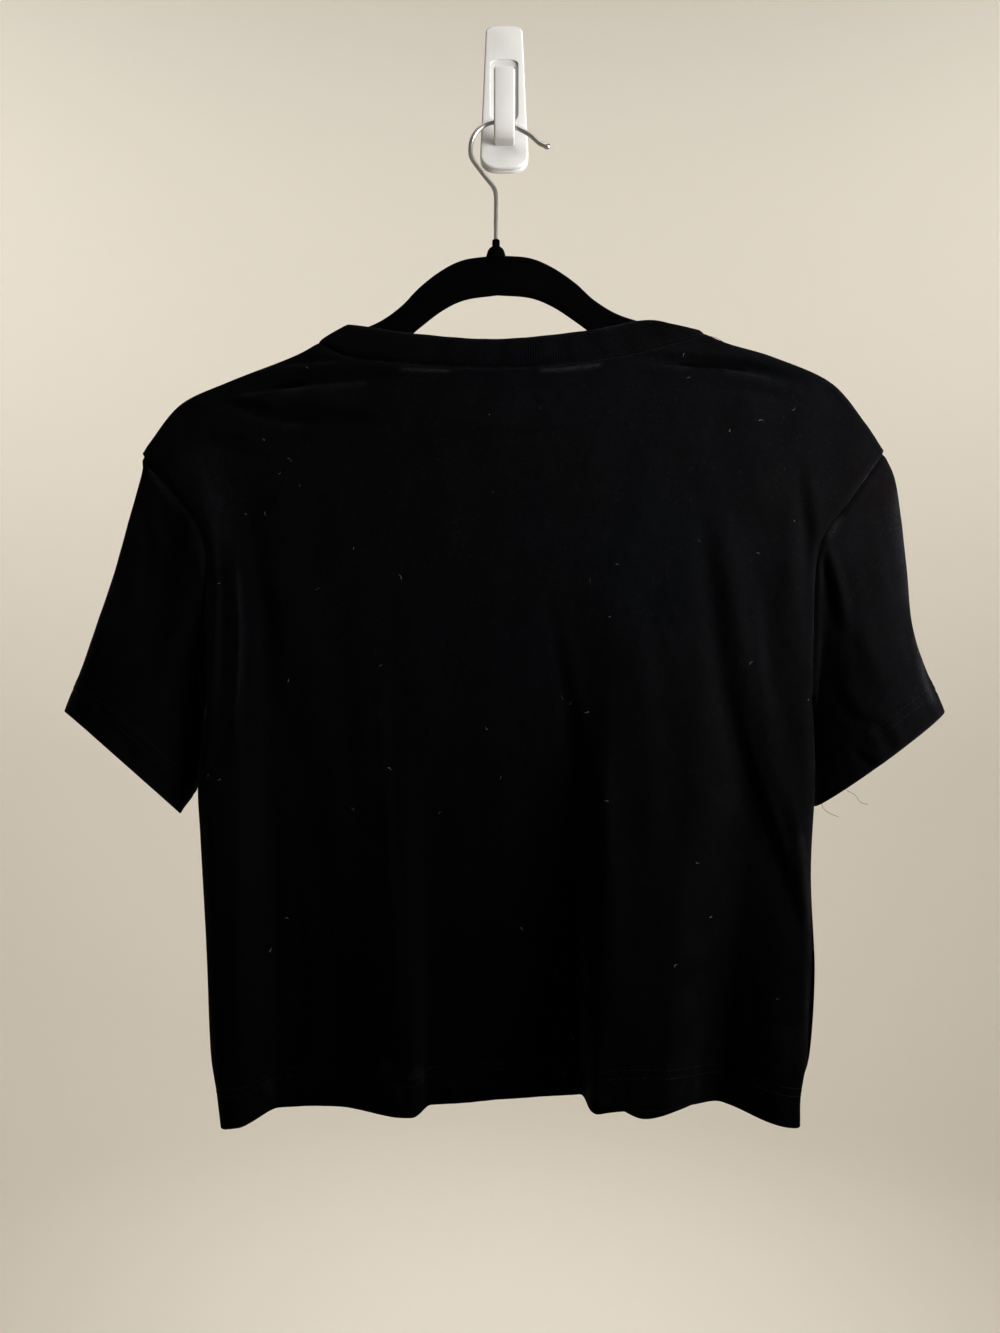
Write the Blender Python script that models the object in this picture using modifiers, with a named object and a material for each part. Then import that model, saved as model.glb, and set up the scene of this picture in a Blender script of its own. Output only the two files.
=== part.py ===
"""Crop top on a flocked hanger, hung from a stick-on wall hook. Metres, +Z up.

The wall is the plane Y = 0 and everything hangs on its -Y side, with the garment's back
turned away from the wall. "Depth" is always the distance from the wall, so y = -depth.
Left and right are those of somebody who looks at the wall.

The cloth is worked out as one smooth middle surface, cut into its sewn pieces, and each
piece is then given its wall on both sides of that surface.
"""
import math
from collections import defaultdict, namedtuple

import bmesh
import bpy
import numpy as np

# ---- Driving dimensions ---------------------------------------------------------------
JERSEY = 0.0012            # wall of the plain jersey
TURNED_HEM = 0.0020        # wall where a hem is turned up and stitched
RIB = 0.0014               # wall of the doubled neckband
SEAM_GAP = 0.0003          # between two pieces at a seam
CLEARANCE = 0.0003         # between hard pieces

HANGER_DEPTH = 0.024       # the hanger's plane, measured from the wall
HANGER_TILT = math.radians(1.9)
HANGER_APEX = (-0.0058, -0.1214)      # top of the arch, x and z
HANGER_THICKNESS = 0.0055
HANGER_ROUND = 0.0018      # its rounded edges
WIRE_RADIUS = 0.0016

PLATE_THICKNESS = 0.0045
RECESS_DEPTH = 0.0015      # the shallow recess in the plate, behind the arm
PAD_THICKNESS = 0.0050     # the raised pad that the arm grows from
ARM_WIDTH = 0.0145
EDGE_ROUND = 0.0012        # rounded edges of the plate and the pad

# ---- Tables ---------------------------------------------------------------------------
# The edge of a panel, from the hem up one side to the neck. The back and the front share
# its x and z. "back" and "front" are their depths there, and "turn" is how far in from
# the edge the cloth takes to turn from that depth to its own.
Edge = namedtuple("Edge", "place x z back front turn")

LEFT_SIDE = (
    Edge("hem corner", -0.1968, -0.7248, 0.025, 0.025, 0.014),
    Edge("top of hem", -0.1996, -0.7033, 0.025, 0.025, 0.014),
    Edge("above hem", -0.2045, -0.6750, 0.025, 0.025, 0.014),
    Edge("waist", -0.2075, -0.6000, 0.025, 0.025, 0.014),
    Edge("ribs", -0.2112, -0.5250, 0.025, 0.025, 0.014),
    Edge("under sleeve", -0.2125, -0.4880, 0.025, 0.025, 0.013),
    Edge("below the underarm", -0.2080, -0.4510, 0.025, 0.025, 0.012),
    Edge("underarm", -0.2060, -0.4340, 0.024, 0.024, 0.012),
)
RIGHT_SIDE = (
    Edge("hem corner", 0.2054, -0.7228, 0.025, 0.025, 0.014),
    Edge("top of hem", 0.2060, -0.7010, 0.025, 0.025, 0.014),
    Edge("above hem", 0.2125, -0.6750, 0.025, 0.025, 0.014),
    Edge("waist", 0.2158, -0.6200, 0.025, 0.025, 0.014),
    Edge("ribs", 0.2135, -0.5500, 0.025, 0.025, 0.014),
    Edge("under sleeve", 0.2160, -0.4900, 0.025, 0.025, 0.013),
    Edge("below the underarm", 0.2146, -0.4470, 0.025, 0.025, 0.012),
    Edge("underarm", 0.2130, -0.4300, 0.024, 0.024, 0.012),
)
LEFT_ARMHOLE = (
    Edge("underarm", -0.2060, -0.4340, 0.029, 0.018, 0.012),
    Edge("side of chest", -0.2065, -0.3850, 0.032, 0.016, 0.012),
    Edge("bend", -0.2040, -0.3260, 0.038, 0.016, 0.010),
    Edge("shoulder blade", -0.2230, -0.2915, 0.036, 0.017, 0.007),
    Edge("shoulder point", -0.2503, -0.2608, 0.032, 0.018, 0.006),
)
RIGHT_ARMHOLE = (
    Edge("underarm", 0.2130, -0.4300, 0.029, 0.018, 0.012),
    Edge("side of chest", 0.2130, -0.3850, 0.032, 0.016, 0.012),
    Edge("bend", 0.2150, -0.3260, 0.038, 0.016, 0.010),
    Edge("shoulder blade", 0.2380, -0.2915, 0.036, 0.017, 0.007),
    Edge("shoulder point", 0.2624, -0.2587, 0.032, 0.018, 0.006),
)
ARMHOLE_TURN = (0.012, 0.008)         # round folds at its two ends, underarm and shoulder
LEFT_SHOULDER = (
    Edge("shoulder point", -0.2503, -0.2608, 0.025, 0.025, 0.006),
    Edge("past the hanger", -0.2440, -0.2506, 0.024, 0.024, 0.006),
    Edge("hanger tip", -0.2237, -0.2250, 0.024, 0.024, 0.0055),
    Edge("outer arm", -0.1915, -0.2093, 0.024, 0.024, 0.0055),
    Edge("inner arm", -0.1470, -0.1915, 0.024, 0.024, 0.0055),
    Edge("neck seam", -0.1296, -0.1822, 0.024, 0.024, 0.0055),
)
RIGHT_SHOULDER = (
    Edge("shoulder point", 0.2624, -0.2587, 0.025, 0.025, 0.006),
    Edge("past the hanger", 0.2492, -0.2378, 0.024, 0.024, 0.006),
    Edge("hanger tip", 0.2263, -0.2097, 0.024, 0.024, 0.0055),
    Edge("outer arm", 0.1870, -0.1918, 0.024, 0.024, 0.0055),
    Edge("inner arm", 0.1560, -0.1825, 0.024, 0.024, 0.0055),
    Edge("neck seam", 0.1396, -0.1757, 0.024, 0.024, 0.0055),
)

# The back of the neck, from one shoulder to the other: the free edge of the band and the
# seam that joins it to the panel.
Neck = namedtuple("Neck", "place edge_x edge_z seam_x seam_z")
BACK_NECK = (
    Neck("left shoulder", -0.1094, -0.1707, -0.1296, -0.1822),
    Neck("beside it", -0.0915, -0.1735, -0.1080, -0.1918),
    Neck("left", -0.0620, -0.1778, -0.0580, -0.1973),
    Neck("centre", -0.0050, -0.1816, 0.0060, -0.1992),
    Neck("right", 0.0590, -0.1755, 0.0720, -0.1925),
    Neck("beside it ", 0.0980, -0.1684, 0.1150, -0.1829),
    Neck("right shoulder", 0.1235, -0.1726, 0.1396, -0.1757),
)
FRONT_DROP_EDGE = 0.085    # how much lower the front of the neck hangs: its free edge
FRONT_DROP_SEAM = 0.098    # and its seam
BACK_NECK_DEPTH = 0.0300
FRONT_NECK_DEPTH = 0.0175
FRONT_NECK_ROUND = 2.2     # higher for a squarer front neck
NECK_TURN = 0.0080         # the band's fold over the hanger

# Height of the hem along the body: x, the back's z and the front's z.
Hem = namedtuple("Hem", "x back front")
HEM = (
    Hem(-0.1968, -0.7248, -0.7248),
    Hem(-0.1800, -0.7212, -0.7215),
    Hem(-0.1400, -0.7192, -0.7195),
    Hem(-0.0690, -0.7192, -0.7190),
    Hem(0.0000, -0.7141, -0.7140),
    Hem(0.0570, -0.7098, -0.7098),
    Hem(0.0780, -0.7052, -0.7130),
    Hem(0.1020, -0.7033, -0.7235),
    Hem(0.1270, -0.7045, -0.7190),
    Hem(0.1450, -0.7125, -0.7150),
    Hem(0.1640, -0.7160, -0.7160),
    Hem(0.1990, -0.7236, -0.7225),
    Hem(0.2054, -0.7228, -0.7228),
)

# How far the two layers hang from the wall between the folds.
Level = namedtuple("Level", "z back front")
LEVELS = (
    Level(-0.720, 0.0090, 0.0040),
    Level(-0.640, 0.0130, 0.0050),
    Level(-0.550, 0.0220, 0.0070),
    Level(-0.440, 0.0340, 0.0100),
    Level(-0.330, 0.0380, 0.0130),
    Level(-0.250, 0.0345, 0.0165),
    Level(-0.200, 0.0300, 0.0180),
    Level(-0.160, 0.0295, 0.0185),
)

# The folds that stand out from the wall. Each runs from the hem up to "top"; its crest is
# level over the "flat" share of its reach on either side, and leans over its left flank.
Fold = namedtuple("Fold", "name hem_x top_x top left right flat_left flat_right height lean")
FOLDS = (
    Fold("left corner", -0.1840, -0.1930, -0.300, 0.034, 0.024, 0.2, 0.1, 0.028, 0.0),
    Fold("narrow fold", -0.0700, -0.0800, -0.440, 0.048, 0.018, 0.0, 0.2, 0.018, -0.15),
    Fold("broad fold", 0.1030, 0.1150, -0.300, 0.050, 0.050, 0.5, 0.3, 0.042, 0.35),
    Fold("right corner", 0.1980, 0.2000, -0.360, 0.056, 0.018, 0.1, 0.3, 0.025, 0.0),
)
FRONT_SHARE = 0.36         # how much of a fold the layer behind it follows
FOLD_SPREAD = 0.5          # how much wider a fold is at its top than at the hem

# The two long folds of a sleeve, from the body to the cuff: the outer one on top and the
# inner one that holds the underarm seam.
Run = namedtuple("Run", "place x z depth")
LEFT_TOP = (
    Run("shoulder point", -0.2503, -0.2608, 0.025),
    Run("cap", -0.2523, -0.2771, 0.026),
    Run("upper arm", -0.2690, -0.3402, 0.027),
    Run("above cuff", -0.2870, -0.3942, 0.027),
    Run("cuff", -0.3035, -0.4385, 0.027),
)
RIGHT_TOP = (
    Run("shoulder point", 0.2624, -0.2587, 0.025),
    Run("cap", 0.2706, -0.2799, 0.026),
    Run("upper arm", 0.2775, -0.3350, 0.027),
    Run("above cuff", 0.2835, -0.3870, 0.027),
    Run("cuff", 0.3035, -0.4385, 0.027),
)
LEFT_UNDER = (
    Run("underarm", -0.2060, -0.4340, 0.024),
    Run("crotch", -0.2094, -0.4364, 0.0215),
    Run("beside the body", -0.2106, -0.4520, 0.014),
    Run("lower", -0.2150, -0.4860, 0.012),
    Run("cuff", -0.2280, -0.5092, 0.018),
)
RIGHT_UNDER = (
    Run("underarm", 0.2130, -0.4300, 0.024),
    Run("crotch", 0.2162, -0.4324, 0.0215),
    Run("beside the body", 0.2166, -0.4480, 0.014),
    Run("lower", 0.2190, -0.4780, 0.012),
    Run("cuff", 0.2205, -0.5055, 0.012),
)
# Shape of each cuff: how far its back and its front stand out from the line between the
# two folds, and how far the back is drawn up along the sleeve.
Cuff = namedtuple("Cuff", "back front drawn_up")
LEFT_CUFF = Cuff(0.023, 0.014, 0.008)
RIGHT_CUFF = Cuff(0.024, 0.011, 0.004)

# Outlines on the wall hook: the width and height of the upper and of the lower end.
Outline = namedtuple("Outline", "top_width top_z bottom_width bottom_z")
PLATE = Outline(0.0265, 0.0525, 0.0345, -0.0525)
RECESS = Outline(0.0205, 0.0280, 0.0205, -0.0170)
PAD = Outline(0.0330, -0.0195, 0.0345, -0.0525)
TOP_RISE = 0.35            # rise of an upper end's arc, as a share of half its width
BOTTOM_RISE = 0.55         # and of a lower end's
END_SQUARENESS = 0.6       # below 1 squares an end's corners

# Side view of the arm, round its section: distance from the wall, and height over the
# floor on which the wire rests.
Side = namedtuple("Side", "place depth rise")
ARM_SIDE = (
    Side("root, above", 0.0073, 0.0015),
    Side("root, below", 0.0073, -0.0030),
    Side("underside", 0.0150, -0.0040),
    Side("lowest", 0.0225, -0.0044),
    Side("under the bend", 0.0290, -0.0010),
    Side("front of the bend", 0.0325, 0.0080),
    Side("front", 0.0345, 0.0210),
    Side("front of the tip", 0.0352, 0.0358),
    Side("tip", 0.0345, 0.0368),
    Side("top of the tip", 0.0330, 0.0368),
    Side("behind the tip", 0.0322, 0.0356),
    Side("back", 0.0312, 0.0200),
    Side("back of the bend", 0.0296, 0.0090),
    Side("in the bend", 0.0268, 0.0010),
    Side("floor, far end", 0.0245, 0.0),
    Side("floor", 0.0190, 0.0002),
    Side("floor, near end", 0.0140, 0.0010),
)
ARM_ROUND = 0.0008         # rounded edges of the arm

# Half of the hanger's outline, from the arch to the tip: x from its middle, and the
# height of its upper and of its lower edge under the top of the arch.
Arm = namedtuple("Arm", "x upper lower")
HANGER_HALF = (
    Arm(0.000, 0.0000, -0.0271),
    Arm(0.022, -0.0022, -0.0296),
    Arm(0.038, -0.0090, -0.0363),
    Arm(0.054, -0.0205, -0.0475),
    Arm(0.067, -0.0330, -0.0575),
    Arm(0.083, -0.0435, -0.0665),
    Arm(0.104, -0.0512, -0.0750),
    Arm(0.124, -0.0592, -0.0820),
    Arm(0.140, -0.0674, -0.0885),
    Arm(0.175, -0.0818, -0.1020),
    Arm(0.206, -0.0938, -0.1140),
)
HANGER_TIP_RADIUS = 0.0101
TIP_STEPS = 8

# The turned neck on top of the arch: radius and height over the arch's top.
Ring = namedtuple("Ring", "radius z")
HANGER_NECK = (
    Ring(0.0026, 0.0112),
    Ring(0.0026, 0.0066),
    Ring(0.0046, 0.0050),
    Ring(0.0062, 0.0015),
    Ring(0.0072, -0.0020),
)
HANGER_BORE_DEPTH = 0.009

# The wire hook, from its foot in the hanger's neck to its free end. Both are measured
# from the centre of its crown.
Bend = namedtuple("Bend", "place x z")
WIRE_CENTRE = (-0.0044, -0.0470)
CROWN_RADIUS = 0.0192
WIRE_FOOT = (
    Bend("foot", -0.0014, -0.0668),
    Bend("stem", -0.0014, -0.0480),
    Bend("top of stem", -0.0014, -0.0330),
    Bend("turn", -0.0034, -0.0262),
    Bend("sweep", -0.0105, -0.0170),
)
WIRE_END = (
    Bend("down", 0.0215, 0.0105),
    Bend("kick", 0.0290, 0.0040),
    Bend("tip", 0.0365, 0.0012),
)
CROWN_FROM = math.radians(200)
CROWN_TO = math.radians(60)
CROWN_BENDS = 8
WIRE_STEPS = 58
WIRE_BULB = (1.0, 1.4, 1.25)          # swelling of the free end, in radii of the wire


# ---- Small helpers --------------------------------------------------------------------
def smooth(t):
    """0 below 0, 1 above 1, and a soft S between."""
    t = np.clip(t, 0.0, 1.0)
    return t * t * (3 - 2 * t)


def quarter_turn(t):
    """The height of a quarter circle, t of the way across it."""
    t = np.clip(t, 0.0, 1.0)
    return np.sqrt(1 - (1 - t) ** 2)


def at_fractions(path, fractions):
    """Points of a path at the given shares of its length, measured on its first 2 values."""
    steps = np.linalg.norm(np.diff(path[:, :2], axis=0), axis=1)
    run = np.concatenate([[0.0], np.cumsum(steps)])
    share = run / run[-1]
    return np.stack([np.interp(fractions, share, column) for column in path.T], axis=-1)


def curve_through(rows, per_span=24):
    """A dense smooth curve (Catmull-Rom) through the rows of a table."""
    points = np.array(rows, dtype=float)
    ends = (2 * points[0] - points[1], 2 * points[-1] - points[-2])
    points = np.vstack([ends[0], points, ends[1]])
    t = np.linspace(0, 1, per_span, endpoint=False)[:, None]
    spans = []
    for a, b, c, d in zip(points, points[1:], points[2:], points[3:]):
        spans.append(0.5 * (2 * b + (c - a) * t + (2 * a - 5 * b + 4 * c - d) * t ** 2
                            + (3 * b - a - 3 * c + d) * t ** 3))
    return np.vstack(spans + [points[-2:-1]])


def edge_curve(rows):
    """x, z, back depth, front depth and turn along one edge of a panel."""
    return curve_through([row[1:] for row in rows])


# ---- The cloth's middle surface -------------------------------------------------------
UNDERARM_ROW = 0.56        # share of a panel's height at which the side meets the armhole
NECK_COLUMNS = (0.255, 0.765)         # shares of its width between which the neck lies
ROWS = (0.0, 0.049, 0.12, 0.20, 0.28, 0.36, 0.44, 0.51, 0.56, 0.566, 0.582, 0.62, 0.68,
        0.75, 0.82, 0.88, 0.93, 0.965, 0.982, 0.992, 0.9975, 1.0)
COLUMN_COUNTS = (13, 20, 15)          # shoulder, neck, shoulder
BESIDE_NECK = (0.0025, 0.0055, 0.0100, 0.0170)      # extra columns where the neck folds over
SLEEVE_RINGS = (0.0, 0.02, 0.05, 0.11, 0.22, 0.36, 0.52, 0.68, 0.82, 0.88, 1.0)
BODY_HEM_TOP = 0.05        # shares of the panel's and of the sleeve's length at which
SLEEVE_HEM_TOP = 0.85      # their turned hems end
RIM_CHOICE = 0.95          # how much shorter a rim's second diagonal has to be
BAND_ROWS = (0.0, 0.5, 1.0)            # from the neck's seam to its free edge
FIRST_ARMHOLE_ROW = ROWS.index(UNDERARM_ROW)


def neck_curve(layer, part):
    """x, z and depth of a layer's neck, along its seam or its free edge."""
    start = 1 if part == "edge" else 3
    line = curve_through([row[start:start + 2] for row in BACK_NECK])
    left, right = line[0], line[-1]
    share = (line[:, 0] - left[0]) / (right[0] - left[0])
    from_end = np.minimum(line[:, 0] - left[0], right[0] - line[:, 0])
    turned = quarter_turn(from_end / NECK_TURN)
    if layer == "back":
        depth = HANGER_DEPTH + (BACK_NECK_DEPTH - HANGER_DEPTH) * turned
    else:
        drop = FRONT_DROP_EDGE if part == "edge" else FRONT_DROP_SEAM
        chord = left[1] + share * (right[1] - left[1])
        across = np.abs(2 * share - 1)
        lowered = chord - drop * (1 - across ** FRONT_NECK_ROUND)
        line = np.column_stack([line[:, 0], lowered])
        depth = HANGER_DEPTH + (FRONT_NECK_DEPTH - HANGER_DEPTH) * turned
    return np.column_stack([line, depth])


def body_depth(x, z, layer):
    """Distance from the wall, and the sideways lean, of a layer away from its edges."""
    levels = np.array([(row.z, row.back, row.front) for row in LEVELS])
    depth = np.interp(z, levels[:, 0], levels[:, 1 if layer == "back" else 2])
    share = 1.0 if layer == "back" else FRONT_SHARE
    lean = np.zeros_like(x)
    for fold in FOLDS:
        down = np.clip((fold.top - z) / (fold.top - HEM[0].back), 0, 1)
        crest = fold.top_x + (fold.hem_x - fold.top_x) * down
        reach = np.where(x < crest, fold.left, fold.right) * (1 + FOLD_SPREAD * (1 - down))
        flat = np.where(x < crest, fold.flat_left, fold.flat_right)
        rise = 1 - smooth((np.abs(x - crest) / reach - flat) / (1 - flat))
        rise = rise * smooth(down) * fold.height * share
        depth = depth + rise
        lean = lean - fold.lean * rise
    return depth, lean


def nearest_on(border, x, z):
    """Distance to a border, and the border's depth and turn at its nearest point."""
    start, step = border[:-1], np.diff(border, axis=0)
    length = np.maximum((step[:, :2] ** 2).sum(axis=1), 1e-18)
    along = np.clip(((x[..., None] - start[:, 0]) * step[:, 0]
                     + (z[..., None] - start[:, 1]) * step[:, 1]) / length, 0, 1)
    gap = np.hypot(x[..., None] - start[:, 0] - along * step[:, 0],
                   z[..., None] - start[:, 1] - along * step[:, 1])
    best = gap.argmin(axis=-1)
    share = np.take_along_axis(along, best[..., None], -1)
    found = start[best] + share * step[best]
    return gap.min(axis=-1), found[..., 2], found[..., 3]


def rounded_ends(curve, start_depth, end_depth):
    """Bring both layers of an armhole to one depth at its ends, each by a round fold."""
    steps = np.hypot(*np.diff(curve[:, :2], axis=0).T)
    run = np.concatenate([[0], np.cumsum(steps)])
    for distance, depth, turn in ((run, start_depth, ARMHOLE_TURN[0]),
                                  (run[-1] - run, end_depth, ARMHOLE_TURN[1])):
        turned = quarter_turn(distance / turn)[:, None]
        curve[:, 2:4] = depth + (curve[:, 2:4] - depth) * turned
    return curve


def panel_outline(layer):
    """Each boundary of a panel as a dense curve: x, z, depth and turn."""
    column = 2 if layer == "back" else 3
    sides = {}
    for name, rows in (("left side", LEFT_SIDE), ("right side", RIGHT_SIDE),
                       ("left armhole", LEFT_ARMHOLE), ("right armhole", RIGHT_ARMHOLE),
                       ("left shoulder", LEFT_SHOULDER), ("right shoulder", RIGHT_SHOULDER)):
        curve = edge_curve(rows)
        if "armhole" in name:
            curve = rounded_ends(curve, LEFT_SIDE[-1].back, LEFT_SHOULDER[0].back)
        sides[name] = curve[:, [0, 1, column, 4]]
    neck = neck_curve(layer, "seam")
    sides["neck"] = np.column_stack([neck, np.full(len(neck), NECK_TURN)])
    return sides


def panel_columns():
    """Shares of a panel's width, set so that the steps along the hem's folds are even."""
    fine = np.linspace(0, 1, 1201)
    x = HEM[0].x + fine * (HEM[-1].x - HEM[0].x)
    depth, _ = body_depth(x, np.full_like(x, HEM[0].back), "back")
    edge = np.minimum(x - x[0], x[-1] - x)
    side = LEFT_SIDE[0]
    depth = side.back + (depth - side.back) * quarter_turn(edge / side.turn)
    run = np.concatenate([[0], np.cumsum(np.hypot(np.diff(x), np.diff(depth)))])
    bounds = (0.0,) + NECK_COLUMNS + (1.0,)
    shares = [0.0]
    for start, end, count in zip(bounds, bounds[1:], COLUMN_COUNTS):
        marks = np.linspace(np.interp(start, fine, run), np.interp(end, fine, run), count + 1)
        inner = np.interp(marks[1:-1], run, fine)
        shares += list(inner) + [end]
    for step in BESIDE_NECK:
        shares += [NECK_COLUMNS[0] + step, NECK_COLUMNS[1] - step]
    return np.array(sorted(shares))


def panel_surface(layer, columns, rows):
    """The middle of one panel as a grid of points, rows by columns by x, y, z."""
    outline = panel_outline(layer)
    rows = np.array(rows)
    hem_table = np.array([(row.x, row.back if layer == "back" else row.front) for row in HEM])
    hem_curve = curve_through(hem_table)
    hem_x = HEM[0].x + columns * (HEM[-1].x - HEM[0].x)
    bottom = np.column_stack([hem_x, np.interp(hem_x, hem_curve[:, 0], hem_curve[:, 1])])

    left_neck, right_neck = NECK_COLUMNS
    top = np.zeros_like(bottom)
    part = columns <= left_neck
    share = columns[part] / left_neck
    top[part] = at_fractions(outline["left shoulder"], share)[:, :2]
    part = columns >= right_neck
    share = (1 - columns[part]) / (1 - right_neck)
    top[part] = at_fractions(outline["right shoulder"], share)[:, :2]
    part = (columns >= left_neck) & (columns <= right_neck)
    share = (columns[part] - left_neck) / (right_neck - left_neck)
    neck = outline["neck"]
    neck_x = neck[0, 0] + share * (neck[-1, 0] - neck[0, 0])
    top[part] = np.column_stack([neck_x, np.interp(neck_x, neck[:, 0], neck[:, 1])])

    edges = {}
    for side in ("left", "right"):
        low = rows <= UNDERARM_ROW
        points = np.zeros((len(rows), 2))
        points[low] = at_fractions(outline[side + " side"], rows[low] / UNDERARM_ROW)[:, :2]
        up = (rows[~low] - UNDERARM_ROW) / (1 - UNDERARM_ROW)
        points[~low] = at_fractions(outline[side + " armhole"], up)[:, :2]
        edges[side] = points

    # A Coons patch: both pairs of boundaries blended, less the corners counted twice.
    u = columns[None, :, None]
    v = rows[:, None, None]
    flat = ((1 - v) * bottom[None] + v * top[None]
            + (1 - u) * edges["left"][:, None] + u * edges["right"][:, None]
            - (1 - v) * ((1 - u) * bottom[0] + u * bottom[-1])
            - v * ((1 - u) * top[0] + u * top[-1]))
    x, z = flat[..., 0], flat[..., 1]

    up = [outline[name] for name in ("left side", "left armhole", "left shoulder", "neck")]
    down = [outline[name][::-1] for name in ("right shoulder", "right armhole", "right side")]
    distance, edge_depth, edge_turn = nearest_on(np.vstack(up + down), x, z)
    distance[:, [0, -1]] = 0
    distance[-1] = 0
    turned = quarter_turn(distance / edge_turn)
    depth, lean = body_depth(x, z, layer)
    depth = edge_depth + (depth - edge_depth) * turned
    return np.stack([x + lean * turned, -depth, z], axis=-1)


def sleeve_surface(back, front, side, rings):
    """The middle of a sleeve: rings from the armhole to the cuff, closed all round."""
    column = 0 if side == "left" else -1
    back_seam = back[FIRST_ARMHOLE_ROW:, column][::-1]
    front_seam = front[FIRST_ARMHOLE_ROW:, column]
    armhole = np.vstack([back_seam, front_seam[1:]])
    count = len(back_seam)
    top_rows, under_rows, cuff = ((LEFT_TOP, LEFT_UNDER, LEFT_CUFF) if side == "left"
                                  else (RIGHT_TOP, RIGHT_UNDER, RIGHT_CUFF))
    top = at_fractions(curve_through([row[1:] for row in top_rows]), rings)
    under = at_fractions(curve_through([row[1:] for row in under_rows]), rings)

    # Share of the way from the top fold to the lower one, for each point of the armhole.
    steps = np.linalg.norm(np.diff(back_seam, axis=0), axis=1)
    across = np.concatenate([[0], np.cumsum(steps)]) / steps.sum()
    across = np.concatenate([across, across[::-1][1:]])
    is_back = np.arange(len(across)) < count

    end_top, end_under = top[-1], under[-1]
    line = end_top + across[:, None] * (end_under - end_top)
    oval = np.sqrt(4 * across * (1 - across))
    out = np.where(is_back, cuff.back, -cuff.front) * oval
    chord = end_under[:2] - end_top[:2]
    upward = np.array([-chord[1], chord[0]]) / np.linalg.norm(chord)
    if upward[1] < 0:
        upward = -upward
    drawn = np.where(is_back, cuff.drawn_up, 0.0) * oval
    cuff_ring = np.column_stack([line[:, 0] + upward[0] * drawn, -(line[:, 2] + out),
                                 line[:, 1] + upward[1] * drawn])

    grid = []
    for share, top_point, under_point in zip(rings, top, under):
        ring = (1 - share) * armhole + share * cuff_ring
        ends = {"top": (0, top_point), "under": (count - 1, under_point)}
        for name, (index, point) in ends.items():
            target = np.array([point[0], -point[2], point[1]])
            weight = np.cos(across * math.pi / 2) ** 2
            if name == "under":
                weight = 1 - weight
            ring = ring + weight[:, None] * (target - ring[index])
        grid.append(ring)
    return np.array(grid)


def neckband_surface(back, front):
    """The middle of the neckband: from its seam to its free edge, closed all round."""
    left_neck, right_neck = NECK_COLUMNS
    neck = (COLUMNS >= left_neck) & (COLUMNS <= right_neck)
    share = (COLUMNS[neck] - left_neck) / (right_neck - left_neck)
    edges = []
    for layer in ("back", "front"):
        line = neck_curve(layer, "edge")
        x = line[0, 0] + share * (line[-1, 0] - line[0, 0])
        edges.append(np.column_stack([x, -np.interp(x, line[:, 0], line[:, 2]),
                                      np.interp(x, line[:, 0], line[:, 1])]))
    edge = np.vstack([edges[0], edges[1][::-1][1:]])
    seam = np.vstack([back[-1, neck], front[-1, neck][::-1][1:]])
    return np.array([seam + t * (edge - seam) for t in BAND_ROWS])


# ---- From the middle surface to solid walls -------------------------------------------
def raw_normals(grid, closed):
    """Unit normals of a grid; a closed one wraps round along its columns."""
    if closed:
        around = np.concatenate([grid[:, -2:-1], grid, grid[:, 1:2]], axis=1)
        along_u = (around[:, 2:] - around[:, :-2])
    else:
        along_u = np.gradient(grid, axis=1)
    along_v = np.gradient(grid, axis=0)
    normal = np.cross(along_u, along_v)
    return normal / np.maximum(np.linalg.norm(normal, axis=-1, keepdims=True), 1e-12)


def share_normals(pieces):
    """Give points that several pieces share the mean of their normals."""
    sums = defaultdict(lambda: np.zeros(3))
    for grid, normals in pieces:
        for point, normal in zip(grid.reshape(-1, 3), normals.reshape(-1, 3)):
            sums[tuple(np.round(point, 6))] += normal
    shared = []
    for grid, normals in pieces:
        flat = np.array([sums[tuple(np.round(point, 6))] for point in grid.reshape(-1, 3)])
        flat /= np.linalg.norm(flat, axis=1, keepdims=True)
        shared.append(flat.reshape(grid.shape))
    return shared


def trim(grid, axis, end):
    """Pull one border of a grid back by half a seam's gap."""
    grid = np.moveaxis(grid.copy(), axis, 0)
    border, inner = (0, 1) if end == "start" else (-1, -2)
    step = grid[inner] - grid[border]
    grid[border] += step / np.linalg.norm(step, axis=-1, keepdims=True) * SEAM_GAP / 2
    return np.moveaxis(grid, 0, axis)


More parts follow.
